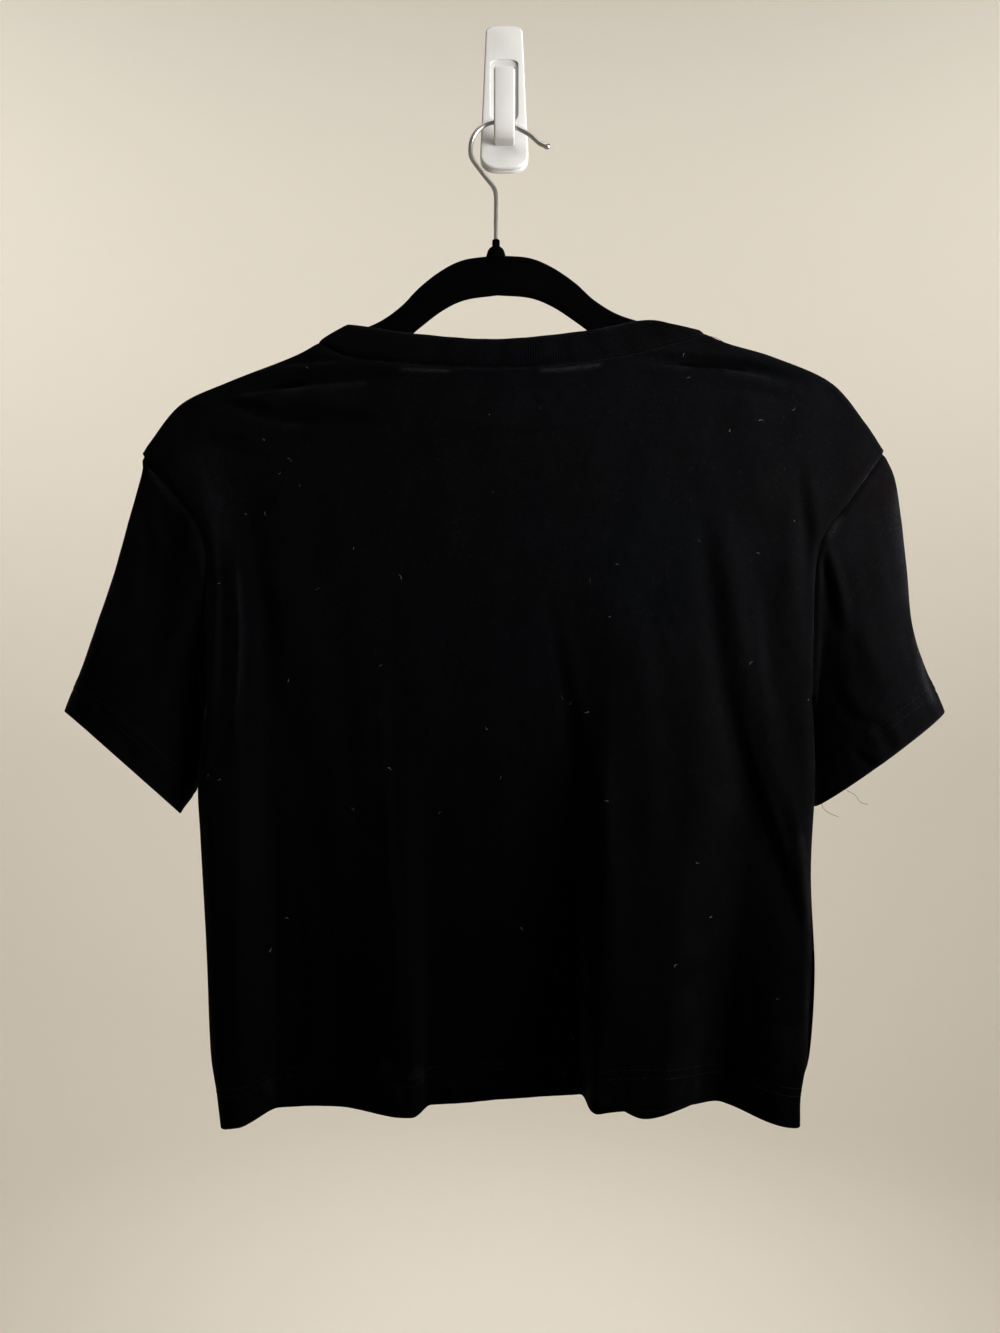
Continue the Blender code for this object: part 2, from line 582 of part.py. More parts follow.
def cloth_solid(name, grid, normals, wall, closed, material):
    """A wall of cloth round a middle surface. "wall" is its thickness, row by row."""
    if closed:
        grid, normals = grid[:, :-1], normals[:, :-1]
    wall = np.asarray(wall)[:, None, None]
    outer = grid + normals * JERSEY / 2
    inner = grid - normals * (wall - JERSEY / 2)
    rows, columns = grid.shape[:2]
    cells = columns if closed else columns - 1
    mesh = bmesh.new()
    sheets = []
    for layer in (outer, inner):
        sheets.append([[mesh.verts.new(point) for point in row] for row in layer])

    for row in range(rows - 1):
        for column in range(cells):
            after = (column + 1) % columns
            ring = ((row, column), (row, after), (row + 1, after), (row + 1, column))
            # Both faces of the wall are split along the same, shorter diagonal.
            first = np.linalg.norm(grid[ring[0]] - grid[ring[2]])
            second = np.linalg.norm(grid[ring[1]] - grid[ring[3]])
            if second < first:
                ring = ring[1:] + ring[:1]
            for sheet in sheets:
                a, b, c, d = (sheet[at[0]][at[1]] for at in ring)
                mesh.faces.new((a, b, c))
                mesh.faces.new((a, c, d))
    borders = []
    for row in (0, rows - 1):
        for column in range(cells):
            borders.append(((row, column), (row, (column + 1) % columns)))
    if not closed:
        for column in (0, columns - 1):
            for row in range(rows - 1):
                borders.append(((row, column), (row + 1, column)))
    for one, two in borders:
        # Two pieces that meet here must split their rims along the same diagonal.
        low, high = sorted((one, two), key=lambda at: tuple(np.round(grid[at][[2, 0, 1]], 4)))
        a, b, c, d = (sheets[side][at[0]][at[1]] for at, side in
                      ((low, 0), (low, 1), (high, 1), (high, 0)))
        if (a.co - c.co).length < (b.co - d.co).length * RIM_CHOICE:
            a, b, c, d = b, c, d, a
        mesh.faces.new((a, b, d))
        mesh.faces.new((b, c, d))
    bmesh.ops.recalc_face_normals(mesh, faces=mesh.faces)
    data = bpy.data.meshes.new(name)
    mesh.to_mesh(data)
    mesh.free()
    data.shade_smooth()
    data.set_sharp_from_angle(angle=math.radians(40))
    return place(bpy.data.objects.new(name, data), material)


# ---- Materials and placing ------------------------------------------------------------
def make_material(name, colour, roughness, metallic=0.0):
    material = bpy.data.materials.new(name)
    material.use_nodes = True
    shader = material.node_tree.nodes["Principled BSDF"]
    shader.inputs["Base Color"].default_value = (*colour, 1.0)
    shader.inputs["Roughness"].default_value = roughness
    shader.inputs["Metallic"].default_value = metallic
    return material


def place(thing, material, collection="crop_top"):
    thing.data.materials.append(material)
    bpy.data.collections[collection].objects.link(thing)
    return thing


def to_mesh_object(source, material):
    """Replace a curve object by the closed mesh that it draws."""
    bpy.context.view_layer.update()
    evaluated = source.evaluated_get(bpy.context.evaluated_depsgraph_get())
    data = bpy.data.meshes.new_from_object(evaluated)
    mesh = bmesh.new()
    mesh.from_mesh(data)
    bmesh.ops.remove_doubles(mesh, verts=mesh.verts, dist=1e-6)
    bmesh.ops.recalc_face_normals(mesh, faces=mesh.faces)
    mesh.to_mesh(data)
    mesh.free()
    name, matrix = source.name, source.matrix_world.copy()
    bpy.data.objects.remove(source)
    data.materials.clear()
    thing = bpy.data.objects.new(name, data)
    thing.matrix_world = matrix
    return place(thing, material)


def boolean(thing, other, operation):
    """Join or cut with a helper object, which is kept in the cutters' collection."""
    modifier = thing.modifiers.new(operation.title(), "BOOLEAN")
    modifier.operation = operation
    modifier.object = other
    modifier.solver = "EXACT"
    for collection in other.users_collection:
        collection.objects.unlink(other)
    bpy.data.collections["cutters"].objects.link(other)
    other.hide_render = True
    other.display_type = "WIRE"


def flat_outline(name, points, thickness, bevel, material):
    """A plate of the given outline, which lies in the XZ plane and is centred on it."""
    curve = bpy.data.curves.new(name, "CURVE")
    curve.dimensions = "2D"
    curve.fill_mode = "BOTH"
    curve.extrude = thickness / 2 - bevel
    curve.bevel_depth = bevel
    curve.bevel_resolution = 1
    curve.offset = -bevel
    spline = curve.splines.new("POLY")
    spline.points.add(len(points) - 1)
    for knot, (x, z) in zip(spline.points, points):
        knot.co = (x, z, 0, 1)
    spline.use_cyclic_u = True
    thing = bpy.data.objects.new(name, curve)
    thing.rotation_euler = (math.pi / 2, 0, 0)
    bpy.context.scene.collection.objects.link(thing)
    return to_mesh_object(thing, material)


# ---- Hard pieces ----------------------------------------------------------------------
def build_hanger(velvet):
    """A flat arch with two sloping arms and round tips, and a turned neck on its top."""
    upper = curve_through([(row.x, row.upper) for row in HANGER_HALF], per_span=4)
    lower = curve_through([(row.x, row.lower) for row in HANGER_HALF], per_span=3)
    middle = (upper[-1] + lower[-1]) / 2
    start = math.atan2(*(upper[-1] - middle)[::-1])
    turn = np.linspace(start, start - math.pi, TIP_STEPS + 1)[1:-1]
    tip = middle + HANGER_TIP_RADIUS * np.column_stack([np.cos(turn), np.sin(turn)])
    half = [tuple(point) for point in np.vstack([upper, tip, lower[::-1]])]
    other = [(-x, z) for x, z in half[::-1] if x > 0]
    body = flat_outline("hanger", half + other, HANGER_THICKNESS, HANGER_ROUND, velvet)

    bore = [(0.0, HANGER_NECK[0].z - HANGER_BORE_DEPTH),
            (WIRE_RADIUS + CLEARANCE, HANGER_NECK[0].z - HANGER_BORE_DEPTH),
            (WIRE_RADIUS + CLEARANCE, HANGER_NECK[0].z)]
    outside = [(ring.radius, ring.z) for ring in HANGER_NECK]
    profile = bore + outside + [(0.0, HANGER_NECK[-1].z)]
    data = bpy.data.meshes.new("hanger_neck")
    data.from_pydata([(r, 0, z) for r, z in profile],
                     [(i, i + 1) for i in range(len(profile) - 1)], [])
    neck = place(bpy.data.objects.new("hanger_neck", data), velvet)
    turned = neck.modifiers.new("Turned", "SCREW")
    turned.steps = turned.render_steps = 24
    turned.use_merge_vertices = True
    turned.merge_threshold = 0.00001
    turned.use_normal_calculate = True

    x, z = HANGER_APEX
    for piece in (body, neck):
        piece.location = (x, -HANGER_DEPTH, z)
    body.rotation_euler[1] = -HANGER_TILT
    boolean(body, neck, "UNION")
    return body


def build_wire(chrome):
    """The round wire hook: a stem, a round crown and a kicked-out end."""
    arc = [Bend("crown", CROWN_RADIUS * math.cos(angle), CROWN_RADIUS * math.sin(angle))
           for angle in np.linspace(CROWN_FROM, CROWN_TO, CROWN_BENDS)]
    path = curve_through([(row.x, row.z) for row in WIRE_FOOT + tuple(arc) + WIRE_END])
    path = at_fractions(path, np.linspace(0, 1, WIRE_STEPS))
    curve = bpy.data.curves.new("hanger_hook", "CURVE")
    curve.dimensions = "3D"
    curve.bevel_depth = WIRE_RADIUS
    curve.bevel_resolution = 2
    curve.use_fill_caps = True
    spline = curve.splines.new("POLY")
    spline.points.add(len(path) - 1)
    for knot, (x, z) in zip(spline.points, path):
        knot.co = (WIRE_CENTRE[0] + x, -HANGER_DEPTH, WIRE_CENTRE[1] + z, 1)
    for knot, swell in zip(list(spline.points)[-len(WIRE_BULB):], WIRE_BULB):
        knot.radius = swell
    thing = bpy.data.objects.new("hanger_hook", curve)
    bpy.context.scene.collection.objects.link(thing)
    return to_mesh_object(thing, chrome)


def rounded_outline(shape, steps=8):
    """Outline of a plate whose ends are flat arcs, from its upper end round to its lower."""
    points = []
    for centre, half, rise in ((shape.top_z, shape.top_width / 2, TOP_RISE),
                               (shape.bottom_z, -shape.bottom_width / 2, BOTTOM_RISE)):
        for angle in np.linspace(0, math.pi, steps + 1):
            across = math.copysign(abs(math.cos(angle)) ** END_SQUARENESS, math.cos(angle))
            points.append((half * across, centre - half * rise * (1 - math.sin(angle))))
    return points


def build_wall_hook(white):
    """A tall plate that sticks to the wall, and on it a pad with the arm that rises from it."""
    plate = flat_outline("wall_hook_plate", rounded_outline(PLATE), PLATE_THICKNESS,
                         EDGE_ROUND, white)
    plate.location = (0, -PLATE_THICKNESS / 2, 0)
    recess = flat_outline("wall_hook_recess", rounded_outline(RECESS), 2 * RECESS_DEPTH, 0, white)
    recess.location = (0, -PLATE_THICKNESS, 0)
    boolean(plate, recess, "DIFFERENCE")

    pad = flat_outline("wall_hook_pad", rounded_outline(PAD), PAD_THICKNESS, EDGE_ROUND, white)
    pad.location = (0, -PLATE_THICKNESS - CLEARANCE - PAD_THICKNESS / 2, 0)

    # The wire's round crown rests on one side edge of the arm's floor.
    inside = CROWN_RADIUS - WIRE_RADIUS
    aside = ARM_WIDTH / 2 - ARM_ROUND - WIRE_CENTRE[0]
    floor = WIRE_CENTRE[1] + math.sqrt(inside ** 2 - aside ** 2) - CLEARANCE
    arm = flat_outline("wall_hook_arm", [(row.depth, floor + row.rise) for row in ARM_SIDE],
                       ARM_WIDTH, ARM_ROUND, white)
    arm.rotation_euler = (math.pi / 2, 0, -math.pi / 2)
    boolean(arm, pad, "UNION")
    return plate, arm


# ---- Put it together ------------------------------------------------------------------
for thing in list(bpy.data.objects):
    bpy.data.objects.remove(thing)
for group in ("crop_top", "cutters"):
    bpy.context.scene.collection.children.link(bpy.data.collections.new(group))

COLUMNS = panel_columns()
BLACK_JERSEY = make_material("black jersey", (0.006, 0.006, 0.007), 0.85)
BLACK_RIB = make_material("black rib", (0.007, 0.007, 0.008), 0.85)
VELVET = make_material("black flock", (0.004, 0.004, 0.004), 0.95)
CHROME = make_material("chrome wire", (0.75, 0.75, 0.75), 0.2, 1.0)
WHITE = make_material("white plastic", (0.82, 0.82, 0.80), 0.4)

BACK = panel_surface("back", COLUMNS, ROWS)
FRONT = panel_surface("front", COLUMNS, ROWS)
SLEEVES = [sleeve_surface(BACK, FRONT, side, SLEEVE_RINGS) for side in ("left", "right")]
NECKBAND = neckband_surface(BACK, FRONT)

Piece = namedtuple("Piece", "name grid closed facing wall material")
body_wall = [TURNED_HEM if row < BODY_HEM_TOP else JERSEY for row in ROWS]
sleeve_wall = [TURNED_HEM if ring > SLEEVE_HEM_TOP else JERSEY for ring in SLEEVE_RINGS]
PIECES = (
    Piece("back", BACK, False, 1, body_wall, BLACK_JERSEY),
    Piece("front", FRONT, False, -1, body_wall, BLACK_JERSEY),
    Piece("sleeve_left", SLEEVES[0], True, -1, sleeve_wall, BLACK_JERSEY),
    Piece("sleeve_right", SLEEVES[1], True, 1, sleeve_wall, BLACK_JERSEY),
    Piece("neckband", NECKBAND, True, 1, [RIB] * len(BAND_ROWS), BLACK_RIB),
)
normals = share_normals([(p.grid, p.facing * raw_normals(p.grid, p.closed)) for p in PIECES])
for piece, piece_normals in zip(PIECES, normals):
    grid = piece.grid
    if piece.name in ("back", "front"):
        grid = trim(trim(trim(grid, 1, "start"), 1, "end"), 0, "end")
    else:
        grid = trim(grid, 0, "start")
    cloth_solid(piece.name, grid, piece_normals, piece.wall, piece.closed, piece.material)

build_hanger(VELVET)
build_wire(CHROME)
build_wall_hook(WHITE)
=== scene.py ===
# %% [markdown]
# # A black crop top on a flocked hanger
#
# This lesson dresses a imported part: a short T-shirt that hangs with its back towards us on
# a flat flocked hanger, whose wire hook rests on a small stick-on wall hook. The packed
# solids are plain. Here each of them gets the form and the finish of the real thing: thin
# jersey with creases, turned hems and stitches, a ribbed neckband, short flock, bright wire
# and smooth white plastic.
#
# Everything is in metres. The flat back of the wall hook lies in the plane Y = 0, and all
# the rest is on its -Y side. "Depth" is the distance from that plane, so y = -depth.

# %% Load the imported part
import math
from collections import namedtuple

import bmesh
import bpy
import numpy as np
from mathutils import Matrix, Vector


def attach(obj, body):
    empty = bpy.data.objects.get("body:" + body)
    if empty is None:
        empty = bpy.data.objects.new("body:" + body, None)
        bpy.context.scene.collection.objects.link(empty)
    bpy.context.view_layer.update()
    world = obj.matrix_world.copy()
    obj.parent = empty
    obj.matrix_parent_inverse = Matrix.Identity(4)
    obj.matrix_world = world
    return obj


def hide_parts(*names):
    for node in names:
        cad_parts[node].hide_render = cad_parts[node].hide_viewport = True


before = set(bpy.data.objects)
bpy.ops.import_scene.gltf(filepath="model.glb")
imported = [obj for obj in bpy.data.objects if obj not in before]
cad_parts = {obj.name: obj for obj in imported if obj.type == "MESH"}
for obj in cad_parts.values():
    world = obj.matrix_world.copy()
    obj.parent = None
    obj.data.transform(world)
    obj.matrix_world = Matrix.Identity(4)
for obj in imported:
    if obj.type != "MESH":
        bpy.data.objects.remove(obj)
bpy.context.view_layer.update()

# %% [markdown]
# ## Camera, backdrop and light
#
# The picture was taken close by, at chest height and straight on, so a short lens near the
# cloth gives the same gentle perspective. The backdrop is one turned bowl: a floor that
# curves up into a rim all round, so that no corner shows from any side. Black cloth shows
# its folds only by the light that skims over it. So the main light is small and close, to
# the right of the shoulders and only a little in front of them, with a tall strip beside it
# and a wide one overhead. What comes from the left is weak, so that one side of each fold
# stays dark. One light stands behind, for the view of the front, and four more wash the
# backdrop evenly.

# %% Camera
def add_object(name, data):
    thing = bpy.data.objects.new(name, data)
    bpy.context.scene.collection.objects.link(thing)
    return thing


view = bpy.data.cameras.new("camera")
view.lens = 26.0
view.sensor_width = 36.0
camera = add_object("camera", view)
camera.location = (-0.003, -0.694, -0.407)
camera.rotation_euler = (math.radians(90), 0, 0)
bpy.context.scene.camera = camera
bpy.context.scene.view_settings.view_transform = "Standard"


# %% Short ways to build trees of nodes
class Nodes:
    """A tree of nodes, and short ways to add to it."""

    def __init__(self, tree):
        self.tree = tree

    def put(self, socket, value):
        """Link another socket to an input, or set the input to a value."""
        if isinstance(value, bpy.types.NodeSocket):
            self.tree.links.new(value, socket)
        elif socket.type == "RGBA":
            socket.default_value = (*value, 1.0)
        else:
            socket.default_value = value

    def add(self, kind, settings=(), **inputs):
        """A new node with settings and named inputs; returns its first output in use."""
        node = self.tree.nodes.new(kind)
        for key, value in dict(settings).items():
            setattr(node, key, value)
        for label, value in inputs.items():
            self.put(next(socket for socket in node.inputs if socket.enabled
                          and socket.name.replace(" ", "_") == label), value)
        return next(socket for socket in node.outputs if socket.enabled)

    def math(self, operation, *values, clamp=False):
        result = self.add("ShaderNodeMath", {"operation": operation, "use_clamp": clamp})
        for socket, value in zip(result.node.inputs, values):
            self.put(socket, value)
        return result


class Finish(Nodes):
    """A material with one Principled shader."""

    def __init__(self, name, colour, roughness, specular=0.5):
        self.material = bpy.data.materials.new(name)
        self.material.use_nodes = True
        super().__init__(self.material.node_tree)
        self.set("Base Color", colour)
        self.set("Roughness", roughness)
        self.set("Specular IOR Level", specular)

    def set(self, name, value):
        """Set or link one of the shader's own inputs."""
        self.put(self.tree.nodes["Principled BSDF"].inputs[name], value)

    @property
    def where(self):
        """The place in the object's own coordinates."""
        if "Place" not in self.tree.nodes:
            self.add("ShaderNodeTexCoord", {"name": "Place"})
        return self.tree.nodes["Place"].outputs["Object"]

    def noise(self, scale, detail=4.0, roughness=0.55):
        return self.add("ShaderNodeTexNoise", Vector=self.where, Scale=scale, Detail=detail,
                        Roughness=roughness)

    def ramp(self, value, *stops):
        """A colour ramp between two (position, colour) stops."""
        result = self.add("ShaderNodeValToRGB", Fac=value)
        for element, (position, colour) in zip(result.node.color_ramp.elements, stops):
            element.position = position
            element.color = (*colour, 1.0)
        return result

    def mix(self, factor, first, second):
        node = self.tree.nodes.new("ShaderNodeMix")
        node.data_type = "RGBA"
        for number, value in ((0, factor), (6, first), (7, second)):
            self.put(node.inputs[number], value)
        return node.outputs[2]

    def bump(self, height, distance, strength, under=None):
        """Tilt the surface by a height, on top of the bump "under"; the last call counts."""
        normal = self.add("ShaderNodeBump", Height=height, Distance=distance,
                          Strength=strength)
        if under is not None:
            self.put(normal.node.inputs["Normal"], under)
        self.set("Normal", normal)
        return normal


# %% Bowl: floor and backdrop in one
FLOOR_Z = -1.75            # the wall hook sits about 1.75 m above the floor
BOWL_RADIUS = 3.2
BOWL_CURVE = 1.0
BOWL_TOP = 3.8
BOWL_STEPS = 12            # along the curve between floor and rim


def make_bowl():
    flat = BOWL_RADIUS - BOWL_CURVE
    profile = [(0.0, FLOOR_Z), (flat, FLOOR_Z)]
    for step in range(1, BOWL_STEPS + 1):
        angle = math.radians(90) * step / BOWL_STEPS
        profile.append((flat + BOWL_CURVE * math.sin(angle),
                        FLOOR_Z + BOWL_CURVE * (1 - math.cos(angle))))
    profile.append((BOWL_RADIUS, BOWL_TOP))
    mesh = bmesh.new()
    points = [mesh.verts.new((radius, 0, z)) for radius, z in profile]
    edges = [mesh.edges.new(pair) for pair in zip(points, points[1:])]
    bmesh.ops.spin(mesh, geom=points + edges, cent=(0, 0, 0), axis=(0, 0, 1),
                   angle=math.tau, steps=96)
    bmesh.ops.remove_doubles(mesh, verts=mesh.verts, dist=1e-5)
    bmesh.ops.recalc_face_normals(mesh, faces=mesh.faces)
    bmesh.ops.reverse_faces(mesh, faces=mesh.faces)
    data = bpy.data.meshes.new("bowl")
    mesh.to_mesh(data)
    mesh.free()
    data.shade_smooth()
    return add_object("bowl", data)


bowl = make_bowl()
bowl.data.materials.append(Finish("pale cream backdrop", (0.74, 0.695, 0.615), 0.9,
                                  0.1).material)

# %% Lights
Light = namedtuple("Light", "name place width height power aim")
TOP_MIDDLE = (0.0, 0.0, -0.40)
LIGHTS = (
    Light("main, right", (0.56, -0.34, -0.16), 0.30, 0.30, 11.5, (0.18, 0.0, -0.34)),
    Light("overhead", (0.05, -0.28, 0.62), 0.8, 0.35, 3.6, (0.0, 0.0, -0.28)),
    Light("skim right", (0.72, -0.14, -0.28), 0.20, 0.6, 4.6, (0.0, 0.0, -0.34)),
    Light("skim left", (-1.45, -0.25, 0.00), 0.25, 0.6, 0.5, TOP_MIDDLE),
    Light("fill, front left", (-1.20, -1.50, 0.20), 1.2, 1.2, 0.5, TOP_MIDDLE),
    Light("behind", (0.30, 1.50, 0.20), 1.4, 1.4, 10.0, TOP_MIDDLE),
    Light("wall, left", (-1.60, 0.70, 1.20), 0.8, 1.6, 27.5, (-1.1, 3.2, 1.2)),
    Light("wall, right", (1.60, 0.70, 1.20), 0.8, 1.6, 27.5, (1.1, 3.2, 1.2)),
    Light("wall, top", (0.0, 1.20, 1.90), 1.6, 0.5, 7.5, (0.0, 3.2, 2.3)),
    Light("floor behind", (0.0, 0.90, -0.40), 1.8, 0.5, 7.0, (0.0, 2.6, -1.6)),
)
ROOM_COLOUR = (0.80, 0.78, 0.74, 1.0)
ROOM_STRENGTH = 0.11
for row in LIGHTS:
    lamp = bpy.data.lights.new(row.name, "AREA")
    lamp.shape = "RECTANGLE"
    lamp.size = row.width
    lamp.size_y = row.height
    lamp.energy = row.power
    holder = add_object(row.name, lamp)
    holder.location = row.place
    towards = Vector(row.aim) - holder.location
    holder.rotation_euler = towards.to_track_quat("-Z", "Y").to_euler()
    holder.visible_camera = False
world = bpy.data.worlds.new("room")
world.use_nodes = True
background = world.node_tree.nodes["Background"].inputs
background["Color"].default_value = ROOM_COLOUR
background["Strength"].default_value = ROOM_STRENGTH
bpy.context.scene.world = world
print(len(LIGHTS), "lights")

# %% [markdown]
# ## Curves through the rows of a table
#
# A tailor's pattern is a few measured points joined by smooth lines. The same idea serves
# here: a short table gives the points, and a Catmull-Rom curve runs through them. A Bezier
# would need handles, which nobody measures on cloth. The tables are in millimetres, which
# are easier to read.


# %% Curves and soft steps
def in_metres(rows):
    """A table written in millimetres, in metres; the names in it stay as they are."""
    return tuple(type(row)(*(value if isinstance(value, str) else value / 1000
                             for value in row)) for row in rows)


def smooth(t):
    """0 below 0, 1 above 1, and a soft S between."""
    t = np.clip(t, 0.0, 1.0)
    return t * t * (3 - 2 * t)


def quarter_turn(t):
    """The height of a quarter circle, t of the way across it."""
    t = np.clip(t, 0.0, 1.0)
    return np.sqrt(1 - (1 - t) ** 2)


def bell(distance, width):
    """1 at no distance, falling softly to nothing at about twice the width."""
    return np.exp(-(distance / width) ** 2)


def curve_through(rows, per_span=16):
    """A dense smooth curve through the rows of a table."""
    points = np.array(rows, dtype=float)
    ends = (2 * points[0] - points[1], 2 * points[-1] - points[-2])
    points = np.vstack([ends[0], points, ends[1]])
    t = np.linspace(0, 1, per_span, endpoint=False)[:, None]
    spans = []
    for a, b, c, d in zip(points, points[1:], points[2:], points[3:]):
        spans.append(0.5 * (2 * b + (c - a) * t + (2 * a - 5 * b + 4 * c - d) * t ** 2
                            + (3 * b - a - 3 * c + d) * t ** 3))
    return np.vstack(spans + [points[-2:-1]])


def run_length(path, values=2):
    """Length along a path, or up each column of a grid, measured on its first values."""
    steps = np.linalg.norm(np.diff(path[..., :values], axis=0), axis=-1)
    return np.concatenate([np.zeros((1,) + steps.shape[1:]), np.cumsum(steps, axis=0)])


def at_fractions(path, fractions):
    """Points of a path at the given shares of its length."""
    run = run_length(path)
    return np.stack([np.interp(fractions, run / run[-1], column) for column in path.T], -1)


# %% [markdown]
# ## The pattern of the top
#
# The back and the front of a drop-shoulder T-shirt have the same outline, and hang one in
# front of the other. So each row below is a point of that outline on the left and on the
# right side, with the depth of each layer there and how far in from the edge it turns to
# its own depth.

# %% Outline of the panels, from the hem up each side to the neck
Edge = namedtuple("Edge", "place left_x left_z right_x right_z back front turn")
SIDE = in_metres((
    Edge("hem corner", -196.8, -724.8, 205.4, -722.8, 25, 25, 14),
    Edge("top of hem", -199.6, -703.3, 206, -701, 25, 25, 14),
    Edge("above hem", -204.5, -675, 212.5, -675, 25, 25, 14),
    Edge("waist", -207.5, -600, 215.8, -620, 25, 25, 14),
    Edge("ribs", -211.2, -525, 213.5, -550, 25, 25, 14),
    Edge("under sleeve", -212.5, -488, 216, -490, 25, 25, 13),
    Edge("below the underarm", -208, -451, 214.6, -447, 25, 25, 12),
    Edge("underarm", -206, -434, 213, -430, 24, 24, 12),
))
ARMHOLE = in_metres((
    Edge("underarm", -206, -434, 213, -430, 29, 18, 12),
    Edge("side of chest", -206.5, -385, 213, -385, 32, 16, 12),
    Edge("bend", -204, -326, 215, -326, 38, 16, 10),
    Edge("shoulder blade", -223, -291.5, 238, -291.5, 36, 17, 7),
    Edge("shoulder point", -250.3, -260.8, 262.4, -258.7, 32, 18, 6),
))
SHOULDER = in_metres((
    Edge("shoulder point", -250.3, -260.8, 262.4, -258.7, 25, 25, 6),
    Edge("past the hanger", -244, -250.6, 249.2, -237.8, 24, 24, 6),
    Edge("hanger tip", -223.7, -225, 226.3, -209.7, 24, 24, 5.5),
    Edge("outer arm", -191.5, -209.3, 187, -191.8, 24, 24, 5.5),
    Edge("inner arm", -147, -191.5, 156, -182.5, 24, 24, 5.5),
    Edge("neck seam", -129.6, -182.2, 139.6, -175.7, 24, 24, 5.5),
))
ARMHOLE_TURN = (0.012, 0.008)         # round folds at its two ends, underarm and shoulder

# %% Neck and hem
Neck = namedtuple("Neck", "place edge_x edge_z seam_x seam_z")
BACK_NECK = in_metres((
    Neck("left shoulder", -109.4, -170.7, -129.6, -182.2),
    Neck("beside it", -91.5, -173.5, -108, -191.8),
    Neck("left", -62, -177.8, -58, -197.3),
    Neck("centre", -5, -181.6, 6, -199.2),
    Neck("right", 59, -175.5, 72, -192.5),
    Neck("beside it again", 98, -168.4, 115, -182.9),
    Neck("right shoulder", 123.5, -172.6, 139.6, -175.7),
))
HANGER_DEPTH = 0.024
FRONT_DROP_EDGE = 0.085    # how much lower the front of the neck hangs: its free edge
FRONT_DROP_SEAM = 0.098    # and its seam
BACK_NECK_DEPTH = 0.0300
FRONT_NECK_DEPTH = 0.0175
FRONT_NECK_ROUND = 2.2     # higher for a squarer front neck
NECK_TURN = 0.0080         # the band's fold over the hanger

Hem = namedtuple("Hem", "x back front")
HEM = in_metres((
    Hem(-196.8, -724.8, -724.8),
    Hem(-180, -721.2, -721.5),
    Hem(-140, -719.2, -719.5),
    Hem(-69, -719.2, -719),
    Hem(0, -714.1, -714),
    Hem(57, -709.8, -709.8),
    Hem(78, -705.2, -713),
    Hem(102, -703.3, -723.5),
    Hem(127, -704.5, -719),
    Hem(145, -712.5, -715),
    Hem(164, -716, -716),
    Hem(199, -723.6, -722.5),
    Hem(205.4, -722.8, -722.8),
))

# %% [markdown]
# ## How the two layers hang
#
# Cloth on a hanger is deep at the shoulders and swings back to hardly any depth at the hem,
# except where it gathers into folds. A few rows give that slope, and one row each gives
# the four large folds, as rounded ridges that start part of the way up and grow downwards.
# Simulated cloth would fall into folds of its own, in other places than these.

# %% Slope and large folds
Level = namedtuple("Level", "z back front")
LEVELS = in_metres((
    Level(-720, 9, 4),
    Level(-640, 13, 5),
    Level(-550, 22, 7),
    Level(-440, 34, 10),
    Level(-330, 38, 13),
    Level(-250, 34.5, 16.5),
    Level(-200, 30, 18),
    Level(-160, 29.5, 18.5),
))
Fold = namedtuple("Fold", "name hem_x top_x top left right flat_left flat_right height lean")
FOLDS = (
    Fold("left corner", -0.1840, -0.1930, -0.300, 0.034, 0.024, 0.2, 0.1, 0.028, 0.0),
    Fold("narrow fold", -0.0700, -0.0800, -0.440, 0.048, 0.018, 0.0, 0.2, 0.018, -0.15),
    Fold("broad fold", 0.1030, 0.1150, -0.300, 0.050, 0.050, 0.5, 0.3, 0.042, 0.35),
    Fold("right corner", 0.1980, 0.2000, -0.360, 0.056, 0.018, 0.1, 0.3, 0.025, 0.0),
)
FRONT_SHARE = 0.36         # how much of a fold the layer behind it follows
FOLD_SPREAD = 0.5          # how much wider a fold is at its top than at the hem
LEVEL_CURVE = curve_through([(row.z, row.back, row.front) for row in LEVELS])


def body_depth(x, z, layer):
    """The depth and the sideways lean of a layer, away from its edges."""
    depth = np.interp(z, LEVEL_CURVE[:, 0], LEVEL_CURVE[:, 1 if layer == "back" else 2])
    share = 1.0 if layer == "back" else FRONT_SHARE
    lean = np.zeros_like(x)
    for fold in FOLDS:
        down = np.clip((fold.top - z) / (fold.top - HEM[0].back), 0, 1)
        crest = fold.top_x + (fold.hem_x - fold.top_x) * down
        reach = np.where(x < crest, fold.left, fold.right) * (1 + FOLD_SPREAD * (1 - down))
        flat = np.where(x < crest, fold.flat_left, fold.flat_right)
        rise = 1 - smooth((np.abs(x - crest) / reach - flat) / (1 - flat))
        rise = rise * smooth(down) * fold.height * share
        depth = depth + rise
        lean = lean - fold.lean * rise
    return depth, lean


# %% Boundaries of a panel
def rounded_ends(curve):
    """Bring both layers of an armhole to one depth at its ends, each by a round fold."""
    run = run_length(curve)
    for distance, depth, turn in ((run, SIDE[-1].back, ARMHOLE_TURN[0]),
                                  (run[-1] - run, SHOULDER[0].back, ARMHOLE_TURN[1])):
        turned = quarter_turn(distance / turn)[:, None]
        curve[:, 2:4] = depth + (curve[:, 2:4] - depth) * turned
    return curve


